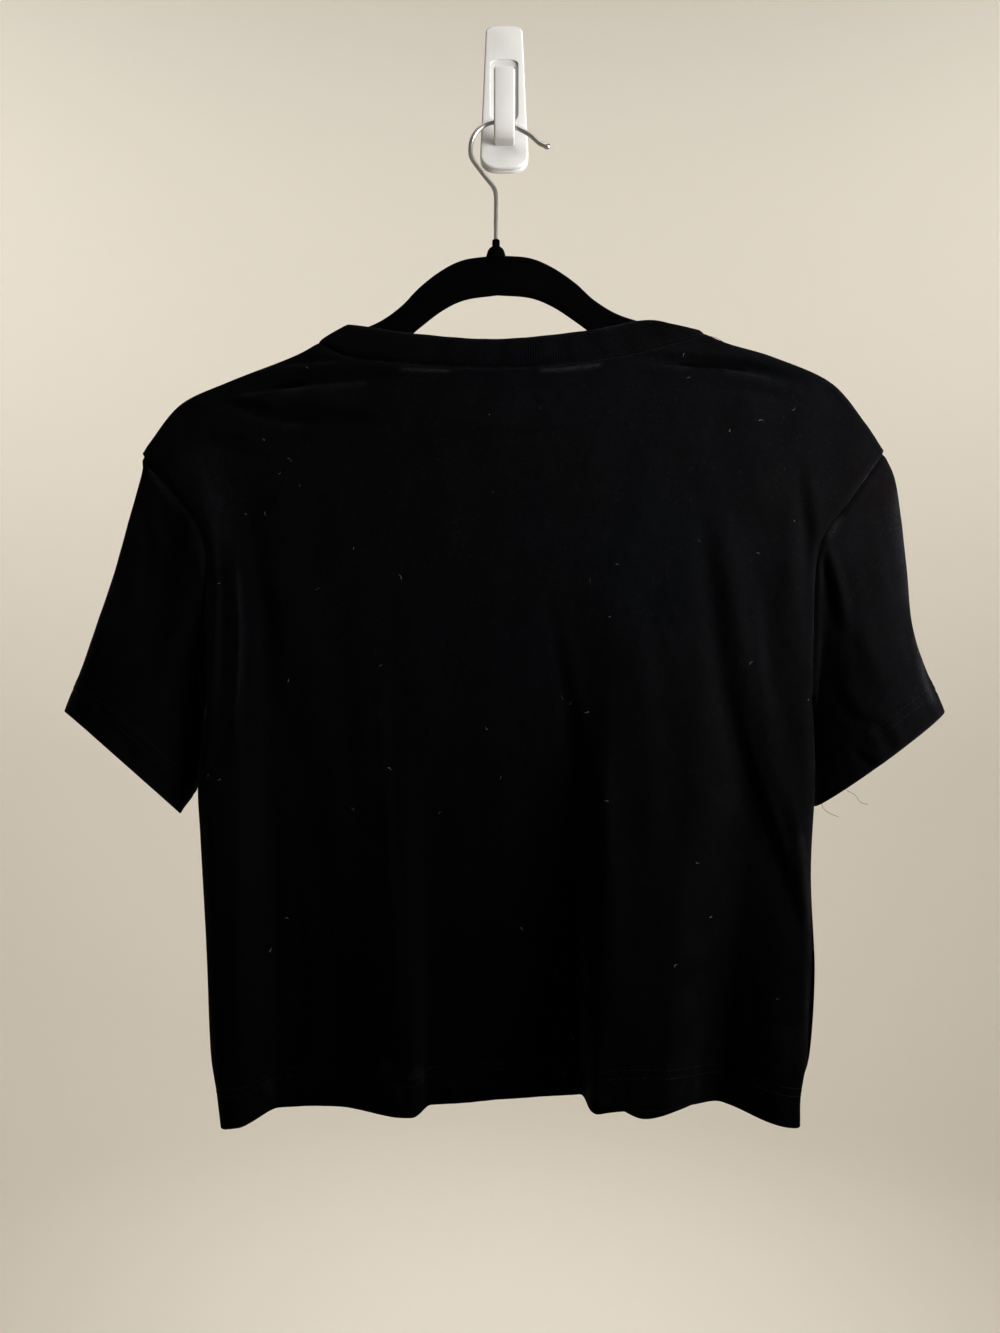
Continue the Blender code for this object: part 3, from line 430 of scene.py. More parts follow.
def neck_curve(layer, part):
    """x, z and depth along the neck's seam or free edge, from left to right."""
    start = 1 if part == "edge" else 3
    line = curve_through([row[start:start + 2] for row in BACK_NECK])
    left, right = line[0], line[-1]
    share = (line[:, 0] - left[0]) / (right[0] - left[0])
    from_end = np.minimum(line[:, 0] - left[0], right[0] - line[:, 0])
    turned = quarter_turn(from_end / NECK_TURN)
    if layer == "back":
        depth = HANGER_DEPTH + (BACK_NECK_DEPTH - HANGER_DEPTH) * turned
    else:
        drop = FRONT_DROP_EDGE if part == "edge" else FRONT_DROP_SEAM
        chord = left[1] + share * (right[1] - left[1])
        across = np.abs(2 * share - 1)
        line = np.column_stack([line[:, 0], chord - drop * (1 - across ** FRONT_NECK_ROUND)])
        depth = HANGER_DEPTH + (FRONT_NECK_DEPTH - HANGER_DEPTH) * turned
    return np.column_stack([line, depth])


def panel_outline(layer):
    """Each boundary of a panel as a dense curve: x, z, depth and turn."""
    column = 2 if layer == "back" else 3
    sides = {}
    for name, rows in (("side", SIDE), ("armhole", ARMHOLE), ("shoulder", SHOULDER)):
        for hand, first in (("left ", 1), ("right ", 3)):
            curve = curve_through([row[first:first + 2] + row[5:] for row in rows])
            if name == "armhole":
                curve = rounded_ends(curve)
            sides[hand + name] = curve[:, [0, 1, column, 4]]
    neck = neck_curve(layer, "seam")
    sides["neck"] = np.column_stack([neck, np.full(len(neck), NECK_TURN)])
    return sides


def nearest(path, x, z):
    """Which step of a path is nearest to each point, how far along it, and the offset."""
    start, step = path[:-1], np.diff(path, axis=0)
    length = np.maximum((step[:, :2] ** 2).sum(axis=1), 1e-18)
    along = np.clip(((x[:, None] - start[:, 0]) * step[:, 0]
                     + (z[:, None] - start[:, 1]) * step[:, 1]) / length, 0, 1)
    off_x = x[:, None] - start[:, 0] - along * step[:, 0]
    off_z = z[:, None] - start[:, 1] - along * step[:, 1]
    best = np.hypot(off_x, off_z).argmin(axis=1)
    pick = (np.arange(len(x)), best)
    return best, along[pick], off_x[pick], off_z[pick]


def nearest_on(border, x, z):
    """Distance to a border, and the border's depth and turn at its nearest point."""
    found = []
    for row_x, row_z in zip(x, z):
        best, share, off_x, off_z = nearest(border, row_x, row_z)
        point = border[best] + share[:, None] * (border[best + 1] - border[best])
        found.append(np.column_stack([np.hypot(off_x, off_z), point[:, 2:4]]))
    return np.moveaxis(np.array(found), -1, 0)


# %% [markdown]
# ## The mesh of a panel
#
# A Coons patch fills four boundary curves with a grid. Its rows run from the hem to the
# neck and its columns from side to side, so rows and columns follow the cloth's own
# straight grain, and hems, stitches and knit can follow them too. The rows and columns lie
# closer together where the cloth turns over the hanger.

# %% Rows and columns of the panels
UNDERARM_ROW = 0.56        # share of a panel's height at which the side meets the armhole
HEM_ROW = 0.055            # and at which the turned hem is stitched
NECK_COLUMNS = (0.255, 0.765)         # shares of its width between which the neck lies
ROW_STRETCHES = (          # share of the height at which a stretch ends, and its rows
    (HEM_ROW, 13), (UNDERARM_ROW, 70), (0.60, 9), (0.93, 40), (0.985, 12), (1.0, 11),
)
COLUMN_COUNTS = (62, 104, 66)         # shoulder, neck, shoulder
BESIDE_NECK = (0.0008, 0.0018, 0.0030)      # extra columns where the neck folds over


def panel_rows():
    rows, start = [0.0], 0.0
    for end, steps in ROW_STRETCHES:
        rows += list(np.linspace(start, end, steps + 1)[1:])
        start = end
    return np.array(rows)


def panel_columns():
    """Shares of a panel's width, set so that the steps along the hem's folds are even."""
    fine = np.linspace(0, 1, 2401)
    x = HEM[0].x + fine * (HEM[-1].x - HEM[0].x)
    depth, _ = body_depth(x, np.full_like(x, HEM[0].back), "back")
    edge = np.minimum(x - x[0], x[-1] - x)
    depth = SIDE[0].back + (depth - SIDE[0].back) * quarter_turn(edge / SIDE[0].turn)
    run = run_length(np.column_stack([x, depth]))
    shares = [0.0]
    bounds = (0.0,) + NECK_COLUMNS + (1.0,)
    for start, end, count in zip(bounds, bounds[1:], COLUMN_COUNTS):
        marks = np.linspace(np.interp(start, fine, run), np.interp(end, fine, run), count + 1)
        shares += list(np.interp(marks[1:-1], run, fine)) + [end]
    for step in BESIDE_NECK:
        shares += [NECK_COLUMNS[0] + step, NECK_COLUMNS[1] - step]
    return np.array(sorted(shares))


ROWS = panel_rows()
COLUMNS = panel_columns()
FIRST_ARMHOLE_ROW = int(np.argmin(np.abs(ROWS - UNDERARM_ROW)))
print(len(ROWS), "rows and", len(COLUMNS), "columns in a panel")


# %% Middle surface of a panel
def panel_surface(layer):
    """Grid of points, rows by columns by x, y, z, and each point's distance to the seams."""
    outline = panel_outline(layer)
    hem_curve = curve_through([(row.x, getattr(row, layer)) for row in HEM])
    hem_x = HEM[0].x + COLUMNS * (HEM[-1].x - HEM[0].x)
    bottom = np.column_stack([hem_x, np.interp(hem_x, hem_curve[:, 0], hem_curve[:, 1])])

    left_neck, right_neck = NECK_COLUMNS
    top = np.zeros_like(bottom)
    part = COLUMNS <= left_neck
    top[part] = at_fractions(outline["left shoulder"], COLUMNS[part] / left_neck)[:, :2]
    part = COLUMNS >= right_neck
    share = (1 - COLUMNS[part]) / (1 - right_neck)
    top[part] = at_fractions(outline["right shoulder"], share)[:, :2]
    part = (COLUMNS >= left_neck) & (COLUMNS <= right_neck)
    share = (COLUMNS[part] - left_neck) / (right_neck - left_neck)
    neck = outline["neck"]
    neck_x = neck[0, 0] + share * (neck[-1, 0] - neck[0, 0])
    top[part] = np.column_stack([neck_x, np.interp(neck_x, neck[:, 0], neck[:, 1])])

    edges = {}
    low = ROWS <= UNDERARM_ROW
    for side in ("left", "right"):
        points = np.zeros((len(ROWS), 2))
        points[low] = at_fractions(outline[side + " side"], ROWS[low] / UNDERARM_ROW)[:, :2]
        up = (ROWS[~low] - UNDERARM_ROW) / (1 - UNDERARM_ROW)
        points[~low] = at_fractions(outline[side + " armhole"], up)[:, :2]
        edges[side] = points

    u = COLUMNS[None, :, None]
    v = ROWS[:, None, None]
    flat = ((1 - v) * bottom[None] + v * top[None]
            + (1 - u) * edges["left"][:, None] + u * edges["right"][:, None]
            - (1 - v) * ((1 - u) * bottom[0] + u * bottom[-1])
            - v * ((1 - u) * top[0] + u * top[-1]))
    x, z = flat[..., 0], flat[..., 1]

    up = [outline[name] for name in ("left side", "left armhole", "left shoulder", "neck")]
    down = [outline[name][::-1] for name in ("right shoulder", "right armhole", "right side")]
    distance, edge_depth, edge_turn = nearest_on(np.vstack(up + down), x, z)
    distance[:, [0, -1]] = 0
    distance[-1] = 0
    turned = quarter_turn(distance / edge_turn)
    depth, lean = body_depth(x, z, layer)
    depth = edge_depth + (depth - edge_depth) * turned
    return np.stack([x + lean * turned, -depth, z], axis=-1), distance


BACK, BACK_SEAM = panel_surface("back")
FRONT, FRONT_SEAM = panel_surface("front")
print("back", BACK.shape, "front", FRONT.shape)

# %% [markdown]
# ## Sleeves and neckband
#
# A sleeve is a tube. Its first ring is the armhole of the two panels, so it shares their
# points and the seam can't open. Its last ring is a flattened oval, the cuff, and two
# tables lead its upper and its lower fold from one to the other. The neckband is a short
# tube too, from the neck of the panels to its own free edge.

# %% The two long folds of each sleeve, and the cuffs
Run = namedtuple("Run", "place left_x left_z left_depth right_x right_z right_depth")
TOP_FOLD = in_metres((
    Run("shoulder point", -250.3, -260.8, 25, 262.4, -258.7, 25),
    Run("cap", -252.3, -277.1, 26, 270.6, -279.9, 26),
    Run("upper arm", -269, -340.2, 27, 277.5, -335, 27),
    Run("above cuff", -287, -394.2, 27, 283.5, -387, 27),
    Run("cuff", -303.5, -438.5, 27, 303.5, -438.5, 27),
))
UNDER_FOLD = in_metres((
    Run("underarm", -206, -434, 24, 213, -430, 24),
    Run("crotch", -209.4, -436.4, 21.5, 216.2, -432.4, 21.5),
    Run("beside the body", -210.6, -452, 14, 216.6, -448, 14),
    Run("lower", -215, -486, 12, 219, -478, 12),
    Run("cuff", -228, -509.2, 18, 220.5, -505.5, 12),
))
Cuff = namedtuple("Cuff", "back front drawn_up")
CUFFS = {"left": Cuff(0.023, 0.014, 0.008), "right": Cuff(0.024, 0.011, 0.004)}
CUFF_ROW = 0.88            # share of the sleeve's length at which its hem is stitched
RINGS = np.concatenate([np.linspace(0, 0.06, 9), np.linspace(0.06, CUFF_ROW, 62)[1:],
                        np.linspace(CUFF_ROW, 1, 14)[1:]])


# %% Middle surface of a sleeve
def sleeve_surface(side):
    """Rings from the armhole to the cuff, and which of their points lie on the back."""
    column, first = (0, 1) if side == "left" else (-1, 4)
    back_seam = BACK[FIRST_ARMHOLE_ROW:, column][::-1]
    front_seam = FRONT[FIRST_ARMHOLE_ROW:, column]
    armhole = np.vstack([back_seam, front_seam[1:]])
    count = len(back_seam)
    cuff = CUFFS[side]
    top, under = [at_fractions(curve_through([row[first:first + 3] for row in rows]), RINGS)
                  for rows in (TOP_FOLD, UNDER_FOLD)]

    across = run_length(back_seam, 3)
    across = across / across[-1]
    across = np.concatenate([across, across[::-1][1:]])
    is_back = np.arange(len(across)) < count

    line = top[-1] + across[:, None] * (under[-1] - top[-1])
    oval = np.sqrt(4 * across * (1 - across))
    out = np.where(is_back, cuff.back, -cuff.front) * oval
    chord = under[-1][:2] - top[-1][:2]
    upward = np.array([-chord[1], chord[0]]) / np.linalg.norm(chord)
    if upward[1] < 0:
        upward = -upward
    drawn = np.where(is_back, cuff.drawn_up, 0.0) * oval
    cuff_ring = np.column_stack([line[:, 0] + upward[0] * drawn, -(line[:, 2] + out),
                                 line[:, 1] + upward[1] * drawn])

    grid = []
    for share, top_point, under_point in zip(RINGS, top, under):
        ring = (1 - share) * armhole + share * cuff_ring
        for index, point, weight in ((0, top_point, np.cos(across * math.pi / 2) ** 2),
                                     (count - 1, under_point, np.sin(across * math.pi / 2) ** 2)):
            target = np.array([point[0], -point[2], point[1]])
            ring = ring + weight[:, None] * (target - ring[index])
        grid.append(ring)
    return np.array(grid), is_back


LEFT_SLEEVE, LEFT_IS_BACK = sleeve_surface("left")
RIGHT_SLEEVE, RIGHT_IS_BACK = sleeve_surface("right")
print("sleeve", LEFT_SLEEVE.shape)


# %% Middle surface of the neckband
BAND_ROWS = np.linspace(0, 1, 11)


def neckband_surface():
    """From the neck's seam to its free edge, closed all round."""
    left_neck, right_neck = NECK_COLUMNS
    neck = (COLUMNS >= left_neck) & (COLUMNS <= right_neck)
    share = (COLUMNS[neck] - left_neck) / (right_neck - left_neck)
    edges = []
    for layer in ("back", "front"):
        line = neck_curve(layer, "edge")
        x = line[0, 0] + share * (line[-1, 0] - line[0, 0])
        edges.append(np.column_stack([x, -np.interp(x, line[:, 0], line[:, 2]),
                                      np.interp(x, line[:, 0], line[:, 1])]))
    edge = np.vstack([edges[0], edges[1][::-1][1:]])
    seam = np.vstack([BACK[-1, neck], FRONT[-1, neck][::-1][1:]])
    return np.array([seam + t * (edge - seam) for t in BAND_ROWS])


NECKBAND = neckband_surface()
print("neckband", NECKBAND.shape)


# %% Normals, shared where pieces meet
def raw_normals(grid, closed):
    """Unit normals of a grid; a closed one wraps round along its columns."""
    if closed:
        around = np.concatenate([grid[:, -2:-1], grid, grid[:, 1:2]], axis=1)
        along_u = around[:, 2:] - around[:, :-2]
    else:
        along_u = np.gradient(grid, axis=1)
    normal = np.cross(along_u, np.gradient(grid, axis=0))
    return normal / np.maximum(np.linalg.norm(normal, axis=-1, keepdims=True), 1e-12)


def share_normals(pieces):
    """Give points that several pieces share the mean of their normals."""
    points = np.concatenate([grid.reshape(-1, 3) for grid, _ in pieces])
    normals = np.concatenate([normal.reshape(-1, 3) for _, normal in pieces])
    keys, place = np.unique(np.round(points, 6), axis=0, return_inverse=True)
    place = place.ravel()
    sums = np.zeros((len(keys), 3))
    for axis in range(3):
        sums[:, axis] = np.bincount(place, weights=normals[:, axis], minlength=len(keys))
    sums /= np.maximum(np.linalg.norm(sums, axis=1, keepdims=True), 1e-12)
    shared, start = [], 0
    for grid, _ in pieces:
        size = grid.shape[0] * grid.shape[1]
        shared.append(sums[place[start:start + size]].reshape(grid.shape))
        start += size
    return shared


GRIDS = ((BACK, False, 1), (FRONT, False, -1), (LEFT_SLEEVE, True, -1),
         (RIGHT_SLEEVE, True, 1), (NECKBAND, True, 1))
NORMALS = share_normals([(grid, facing * raw_normals(grid, closed))
                         for grid, closed, facing in GRIDS])
BACK_N, FRONT_N, LEFT_N, RIGHT_N, BAND_N = NORMALS
print("normals shared by", len(NORMALS), "pieces")

# %% [markdown]
# ## Creases, laid in one by one
#
# The large folds are in the form already. What makes cloth look like cloth are the smaller
# ones: gathers that fan out over the hanger's arms, the long soft valley that crosses the
# right side, narrow ridges beside the left sleeve, and short creases at the hem. Each is a
# row of a table: how high it stands (or how deep it lies), how wide it is, how much the
# cloth beside it swells to make up for it, and the few points that it runs through.
# The front and the sleeves get creases of the same kind, uneven, and not mirrored.

# %% Creases of the back and the front: heights, widths, and x and z along each, in mm
Crease = namedtuple("Crease", "height width partner path")
BACK_CREASES = (
    Crease(-3.6, 2.7, 0.3, ((-168, -203), (-158, -198.5), (-133.4, -196), (-99, -195))),
    Crease(-6.2, 5, 0.35, ((-206, -222.5), (-164, -213.5), (-119, -208), (-68, -205))),
    Crease(-5.2, 4.6, 0.35, ((-202, -223), (-157.4, -234.5), (-124, -237), (-80, -239))),
    Crease(1.2, 7, 0, ((-195, -225), (-146, -225), (-68, -219))),
    Crease(-1, 7, 0.4, ((-210, -248), (-175, -264), (-135, -274))),
    Crease(-5.6, 3.8, 0.35, ((90, -193.5), (127.4, -197.5), (161.7, -199.7), (203, -211))),
    Crease(-1.5, 4.2, 0.5, ((135, -213.5), (170, -217), (208, -226))),
    Crease(0.9, 6, 0, ((100, -206), (145, -207.5), (185, -212))),
    Crease(-0.6, 6, 0.4, ((150, -245), (185, -250), (215, -256))),
    Crease(3, 12, 0.3, ((-212, -272), (-203, -298), (-201, -336))),
    Crease(2, 3, 0.4, ((-198.5, -312), (-195.5, -370), (-199, -450))),
    Crease(1.6, 2.6, 0.4, ((-183, -325), (-179.5, -390), (-184, -480))),
    Crease(-2.2, 7, 0.3, ((-175, -300), (-164, -370), (-160, -450))),
    Crease(-4.6, 10, 0.6, ((133, -290), (143, -370), (154, -440), (172, -506), (190, -560),
            (202, -593))),
    Crease(-2, 3, 0.9, ((153, -420), (164, -465), (180, -515), (197, -565), (207, -605))),
    Crease(2.6, 5.6, 0, ((193, -490), (199.5, -515), (204.5, -550), (208, -595))),
    Crease(1.8, 9, 0.3, ((193, -295), (196, -350), (201, -410))),
    Crease(1.4, 5, 0.4, ((170, -350), (174, -410), (183, -465))),
    Crease(-1.8, 4.2, 0.6, ((201, -270), (205, -305), (208, -340))),
    Crease(-2.6, 6, 0.7, ((30, -356), (44, -440), (59, -520), (60, -601), (56, -680))),
    Crease(1.4, 10, 0.2, ((89, -370), (98, -470), (93, -570))),
    Crease(1.1, 4, 0.2, ((-86, -400), (-81, -500), (-74.5, -615), (-71.5, -700))),
    Crease(-0.9, 8.5, 0.2, ((-108, -420), (-105, -520), (-103, -630))),
    Crease(-1, 9, 0.3, ((-45, -460), (-42, -560), (-47, -650))),
    Crease(0.9, 11, 0, ((-5, -330), (-8, -430), (-2, -540))),
    Crease(-0.9, 8, 0.3, ((18, -480), (22, -580), (18, -670))),
    Crease(-1.2, 6, 0.4, ((-148, -540), (-142, -620), (-149, -690))),
    Crease(-1.2, 3, 0.6, ((143, -687), (170, -689.5), (196, -698.5))),
    Crease(1.3, 6, 0.3, ((200, -656), (204, -672), (203, -690))),
    Crease(-1, 5, 0.5, ((165, -610), (173, -645), (170, -680))),
    Crease(1.1, 3.4, 0.4, ((56, -678), (61, -690), (68, -702))),
    Crease(-0.9, 2.8, 0.6, ((-95, -700), (-84, -693), (-70, -698))),
    Crease(0.9, 3, 0.4, ((-56, -690), (-44, -701), (-30, -705))),
    Crease(-0.8, 3, 0.5, ((-188, -680), (-176, -696), (-169, -710))),
    Crease(-0.8, 5, 0.5, ((-30, -245), (20, -250), (70, -243))),
)
FRONT_CREASES = (
    Crease(-1.2, 3.6, 0.6, ((-200, -223), (-170, -223), (-144, -233))),
    Crease(-1.4, 5.2, 0.6, ((-195, -240), (-156, -256), (-118, -276))),
    Crease(-0.9, 6, 0.4, ((-190, -265), (-140, -295), (-85, -306))),
    Crease(-1.3, 4, 0.6, ((200, -225), (175, -228), (150, -240))),
    Crease(-1.2, 5, 0.5, ((199, -245), (160, -268), (122, -286))),
    Crease(-0.8, 6, 0.4, ((180, -276), (130, -306), (75, -312))),
    Crease(1, 8, 0, ((-50, -320), (-10, -334), (40, -323))),
    Crease(-0.9, 6, 0.4, ((-40, -300), (0, -304), (50, -299))),
    Crease(-2, 8.5, 0.6, ((-170, -360), (-150, -440), (-148, -540), (-160, -640))),
    Crease(1.2, 5, 0.3, ((-196, -320), (-190, -400), (-193, -480))),
    Crease(-1.3, 8, 0.4, ((-96, -430), (-100, -540), (-95, -650))),
    Crease(1.3, 6, 0.3, ((-65, -480), (-62, -590), (-68, -700))),
    Crease(-1.3, 8, 0.4, ((-15, -420), (-10, -530), (-18, -650))),
    Crease(0.9, 9, 0, ((25, -450), (30, -550), (26, -660))),
    Crease(-1.9, 7.5, 0.6, ((60, -390), (69, -490), (68, -600), (76, -700))),
    Crease(-1.5, 7, 0.5, ((150, -400), (142, -500), (148, -610), (142, -690))),
    Crease(-1.8, 8, 0.6, ((198, -470), (185, -530), (180, -620))),
    Crease(1.2, 5, 0.3, ((196, -330), (190, -400), (196, -450))),
    Crease(-1, 3, 0.6, ((-190, -682), (-160, -688), (-135, -700))),
    Crease(-1, 3.2, 0.6, ((115, -696), (140, -688), (170, -692))),
)

# %% Creases of the sleeves: those of their back, then those of their front
LEFT_SLEEVE_CREASES = (
    (Crease(-4.8, 15, 0.4, ((-230, -290), (-234, -350), (-245, -430))),
     Crease(-1.2, 4.5, 0.6, ((-248, -290), (-244, -330), (-249, -370))),
     Crease(-1.2, 5, 0.5, ((-220, -365), (-238, -390), (-262, -415))),
     Crease(1.2, 5.5, 0.3, ((-262, -350), (-274, -390), (-286, -425))),
     Crease(-1.2, 4.5, 0.5, ((-222, -420), (-235, -445), (-256, -465))),
     Crease(-0.9, 3.5, 0.5, ((-270, -445), (-258, -456), (-250, -475)))),
    (Crease(-1.2, 5, 0.6, ((-240, -300), (-245, -340), (-240, -380))),
     Crease(-1.3, 5, 0.5, ((-225, -385), (-242, -410), (-268, -425))),
     Crease(-1, 4, 0.5, ((-226, -435), (-245, -455), (-262, -460)))),
)
RIGHT_SLEEVE_CREASES = (
    (Crease(-3, 3.4, 0.8, ((212, -320), (220, -345), (227.5, -386))),
     Crease(1, 7, 0.2, ((248, -300), (256, -345), (264, -390))),
     Crease(-1, 6, 0.4, ((233, -365), (240, -405), (252, -440))),
     Crease(-1.2, 4, 0.6, ((225, -415), (234, -437), (250, -450))),
     Crease(-1.3, 2.8, 0.6, ((238, -463), (245, -470), (252, -478))),
     Crease(1.2, 4, 0.3, ((278, -370), (283, -405), (289, -435)))),
    (Crease(-1.2, 5, 0.6, ((248, -300), (244, -345), (248, -390))),
     Crease(-1.2, 5, 0.5, ((230, -380), (248, -405), (274, -418))),
     Crease(-1, 4, 0.5, ((228, -430), (244, -448), (264, -452)))),
)
print(len(BACK_CREASES) + len(FRONT_CREASES), "creases on the body")


# %% What a table of creases does to the surface
def beside(path, x, z):
    """Distance to a path, the signed side of it and the share of the way along it."""
    best, share, off_x, off_z = nearest(path, x, z)
    step = np.diff(path, axis=0)
    side = step[best, 0] * off_z - step[best, 1] * off_x
    return np.hypot(off_x, off_z), np.sign(side), (best + share) / len(step)


CREASE_START, CREASE_GROWTH = 0.75, 0.45    # a crease's width at its start; it widens by this
SWELL_AT, SWELL_WIDTH = 1.7, 1.3            # the swelling beside it, in the same widths


def near_path(path, room, x, z, per_span, count):
    """A table's path as points in metres, and which of a grid's points lie near it."""
    path = curve_through(np.array(path) / 1000, per_span)
    path = at_fractions(path, np.linspace(0, 1, count))
    low, high = path.min(axis=0) - room, path.max(axis=0) + room
    return path, (x > low[0]) & (x < high[0]) & (z > low[1]) & (z < high[1])


def creased(x, z, creases):
    """How far a table of creases pushes the cloth out at each point of a grid."""
    total = np.zeros(x.shape)
    for crease in creases:
        height, width = crease.height / 1000, crease.width / 1000
        path, near = near_path(crease.path, 4 * width, x, z, per_span=8, count=18)
        gap, side, along = beside(path, x[near], z[near])
        fade = np.sin(np.pi * np.clip(along, 0.02, 0.98)) ** 0.8
        wide = width * (CREASE_START + CREASE_GROWTH * along)
        swell = bell(side * gap - SWELL_AT * wide, SWELL_WIDTH * wide)
        shape = bell(gap, wide) - crease.partner * swell
        total[near] += height * shape * fade
    return total


# Lengths of the long and the short waves of the cloth: across it, then down it.
LONG_WAVES = ((0.030, 0.085), (0.10, 0.30))
SHORT_WAVES = ((0.010, 0.022), (0.018, 0.045))
SHORT_SHARE = 0.22         # height of a short wave, as a share of a long one's


def unevenness(x, z, seed, height=0.00035):
    """Slow waves of many lengths, longer down the cloth than across it."""
    random = np.random.default_rng(seed)
    total = np.zeros(x.shape)
    for _ in range(12):
        across = random.uniform(*LONG_WAVES[0])
        down = random.uniform(*LONG_WAVES[1]) * random.choice((-1, 1))
        total += np.sin(math.tau * (x / across + z / down) + random.uniform(0, math.tau))
    for _ in range(8):
        across = random.uniform(*SHORT_WAVES[0]) * random.choice((-1, 1))
        down = random.uniform(*SHORT_WAVES[1])
        total += SHORT_SHARE * np.sin(math.tau * (x / across + z / down)
                                      + random.uniform(0, math.tau))
    return total * height / 3


# %% [markdown]
# ## Where the cloth is worn, and where highlights are painted
#
# Black jersey catches dust and lint, and turns grey first where it rubs: along the seam of
# the neck, on the folds of the sleeves, at the armhole seams and on the hem. Some of these
# grey lines are painted highlights too: the light ridges beside the left armhole, the outer
# folds of the sleeves and the edge of the broad fold at the hem. A value between 0 and 1 at
# each point of the mesh says how much, and the material mixes a dusty grey in by it, broken
# up by a fine noise.

# %% Worn places and painted highlights of the back, and similar ones elsewhere: width and path in mm
WearAndHighlight = namedtuple("WearAndHighlight", "strength width path")
BACK_WEAR_AND_HIGHLIGHTS = (
    WearAndHighlight(0.9, 1.2, ((-75, -202), (-55, -203), (-34, -203.5))),
    WearAndHighlight(1, 1.4, ((23, -203), (43, -202), (70, -198.5))),
    WearAndHighlight(0.8, 1.8, ((-244, -265), (-230, -285), (-218, -302))),
    # painted highlights: the light patch and two thin light lines on the ridges beside the left
    # armhole
    WearAndHighlight(0.22, 13, ((-208, -250), (-200, -295), (-197, -345))),
    WearAndHighlight(0.45, 2.6, ((-201, -330), (-199, -420), (-204, -520), (-204, -620), (-198, -710))),
    WearAndHighlight(0.4, 2.2, ((-183, -330), (-180, -390), (-184, -450))),
    WearAndHighlight(0.9, 4.5, ((-85, -680), (-77, -698), (-72, -712))),
    WearAndHighlight(0.7, 3, ((-64, -685), (-56, -700))),
    WearAndHighlight(0.8, 1.8, ((-42, -702), (-33, -704))),
    # painted highlight on the edge of the broad fold, at the hem
    WearAndHighlight(0.8, 2, ((56, -680), (60, -692), (68, -700))),
    WearAndHighlight(0.7, 3, ((199, -515), (205, -550), (209, -590))),
    WearAndHighlight(0.7, 3, ((-197, -690), (-195, -710))),
    WearAndHighlight(0.6, 3, ((-168, -695), (-164, -712))),
    WearAndHighlight(0.35, 10, ((195, -650), (200, -685))),
)
FRONT_WEAR_AND_HIGHLIGHTS = (
    WearAndHighlight(0.8, 1.4, ((-50, -295), (-20, -300), (10, -300.5))),
    WearAndHighlight(0.5, 2.6, ((198, -340), (202, -460), (205, -600))),
    WearAndHighlight(0.7, 4, ((125, -695), (132, -708))),
    WearAndHighlight(0.6, 3, ((-145, -695), (-138, -710))),
)
LEFT_SLEEVE_WEAR_AND_HIGHLIGHTS = (
    # painted highlight along the sleeve's outer fold
    WearAndHighlight(0.8, 6, ((-256, -290), (-270, -340), (-286, -390), (-296, -425))),
    WearAndHighlight(0.9, 5, ((-294, -420), (-300, -436))),
    WearAndHighlight(0.7, 2, ((-246, -270), (-230, -290), (-220, -305))),
)
RIGHT_SLEEVE_WEAR_AND_HIGHLIGHTS = (
    WearAndHighlight(0.5, 2.2, ((229, -305), (224, -313), (220, -320))),
    # painted highlight along the sleeve's outer crease
    WearAndHighlight(0.8, 3, ((280, -380), (285, -415), (293, -435))),
    WearAndHighlight(0.5, 6, ((268, -280), (274, -330), (279, -370))),
)


def wear_and_highlights(x, z, places):
    """How much grey a grid's points take, from 0 to 1: wear, and highlights painted on some
    ridges and folds.
    """
    total = np.zeros(x.shape)
    for place in places:
        width = place.width / 1000
        path, near = near_path(place.path, 3 * width, x, z, per_span=6, count=14)
        gap, _, along = beside(path, x[near], z[near])
        fade = smooth(along * 6) * smooth((1 - along) * 6)
        total[near] = np.maximum(total[near], place.strength * bell(gap, width) * fade)
    return total


# %% [markdown]
# ## From a surface to a thin closed cloth
#
# Each piece is built as two sheets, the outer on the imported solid's own face and the inner
# less than a millimetre behind it, joined by a rim. At a seam both pieces dip a little and
# meet, as sewn edges do. A turned hem is two layers, so it stands a little proud of the
# cloth above it, up to a groove where the stitches pull it in, and its lower edge is round.

# %% Sizes of the cloth
JERSEY = 0.0012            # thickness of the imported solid
CLOTH = 0.0008             # thickness of the jersey here
HEM_DOUBLE = 0.0015        # and of a turned hem
SEAM_DIP = 0.0010          # how deep the cloth is drawn in at a seam
SEAM_DIP_WIDTH = 0.0017
SEAM_SWELL = 0.00025       # the turned seam allowance beside it
SEAM_SWELL_AT = 0.0045
SEAM_SWELL_WIDTH = 0.0022
NECK_GROOVE = 0.0009       # how much deeper it is drawn in under the neckband
NECK_GROOVE_WIDTH = 0.0026
STITCH_DIP = 0.0004        # a row of stitches
STITCH_DIP_WIDTH = 0.0011
FIRST_STITCH = 0.001       # from the upper edge of a hem down to its first row of stitches
TWIN_GAP = 0.0055          # between the two rows of a twin-needle hem
HEM_STEP = 0.0004          # how far a turned hem stands proud of the cloth above it
HEM_STEP_WIDTH = 0.0012
PUCKER = 0.00028           # waves that the stitching leaves in a hem
PUCKER_LENGTHS = (0.009, 0.023)
RIM_ROUND = 0.45           # how far a round rim reaches out, in thicknesses
RUBBED_EDGE = 0.0012       # width of the worn line along a hem's lower edge


def seam_shape(distance):
    return (SEAM_SWELL * bell(distance - SEAM_SWELL_AT, SEAM_SWELL_WIDTH)
            - SEAM_DIP * bell(distance, SEAM_DIP_WIDTH))


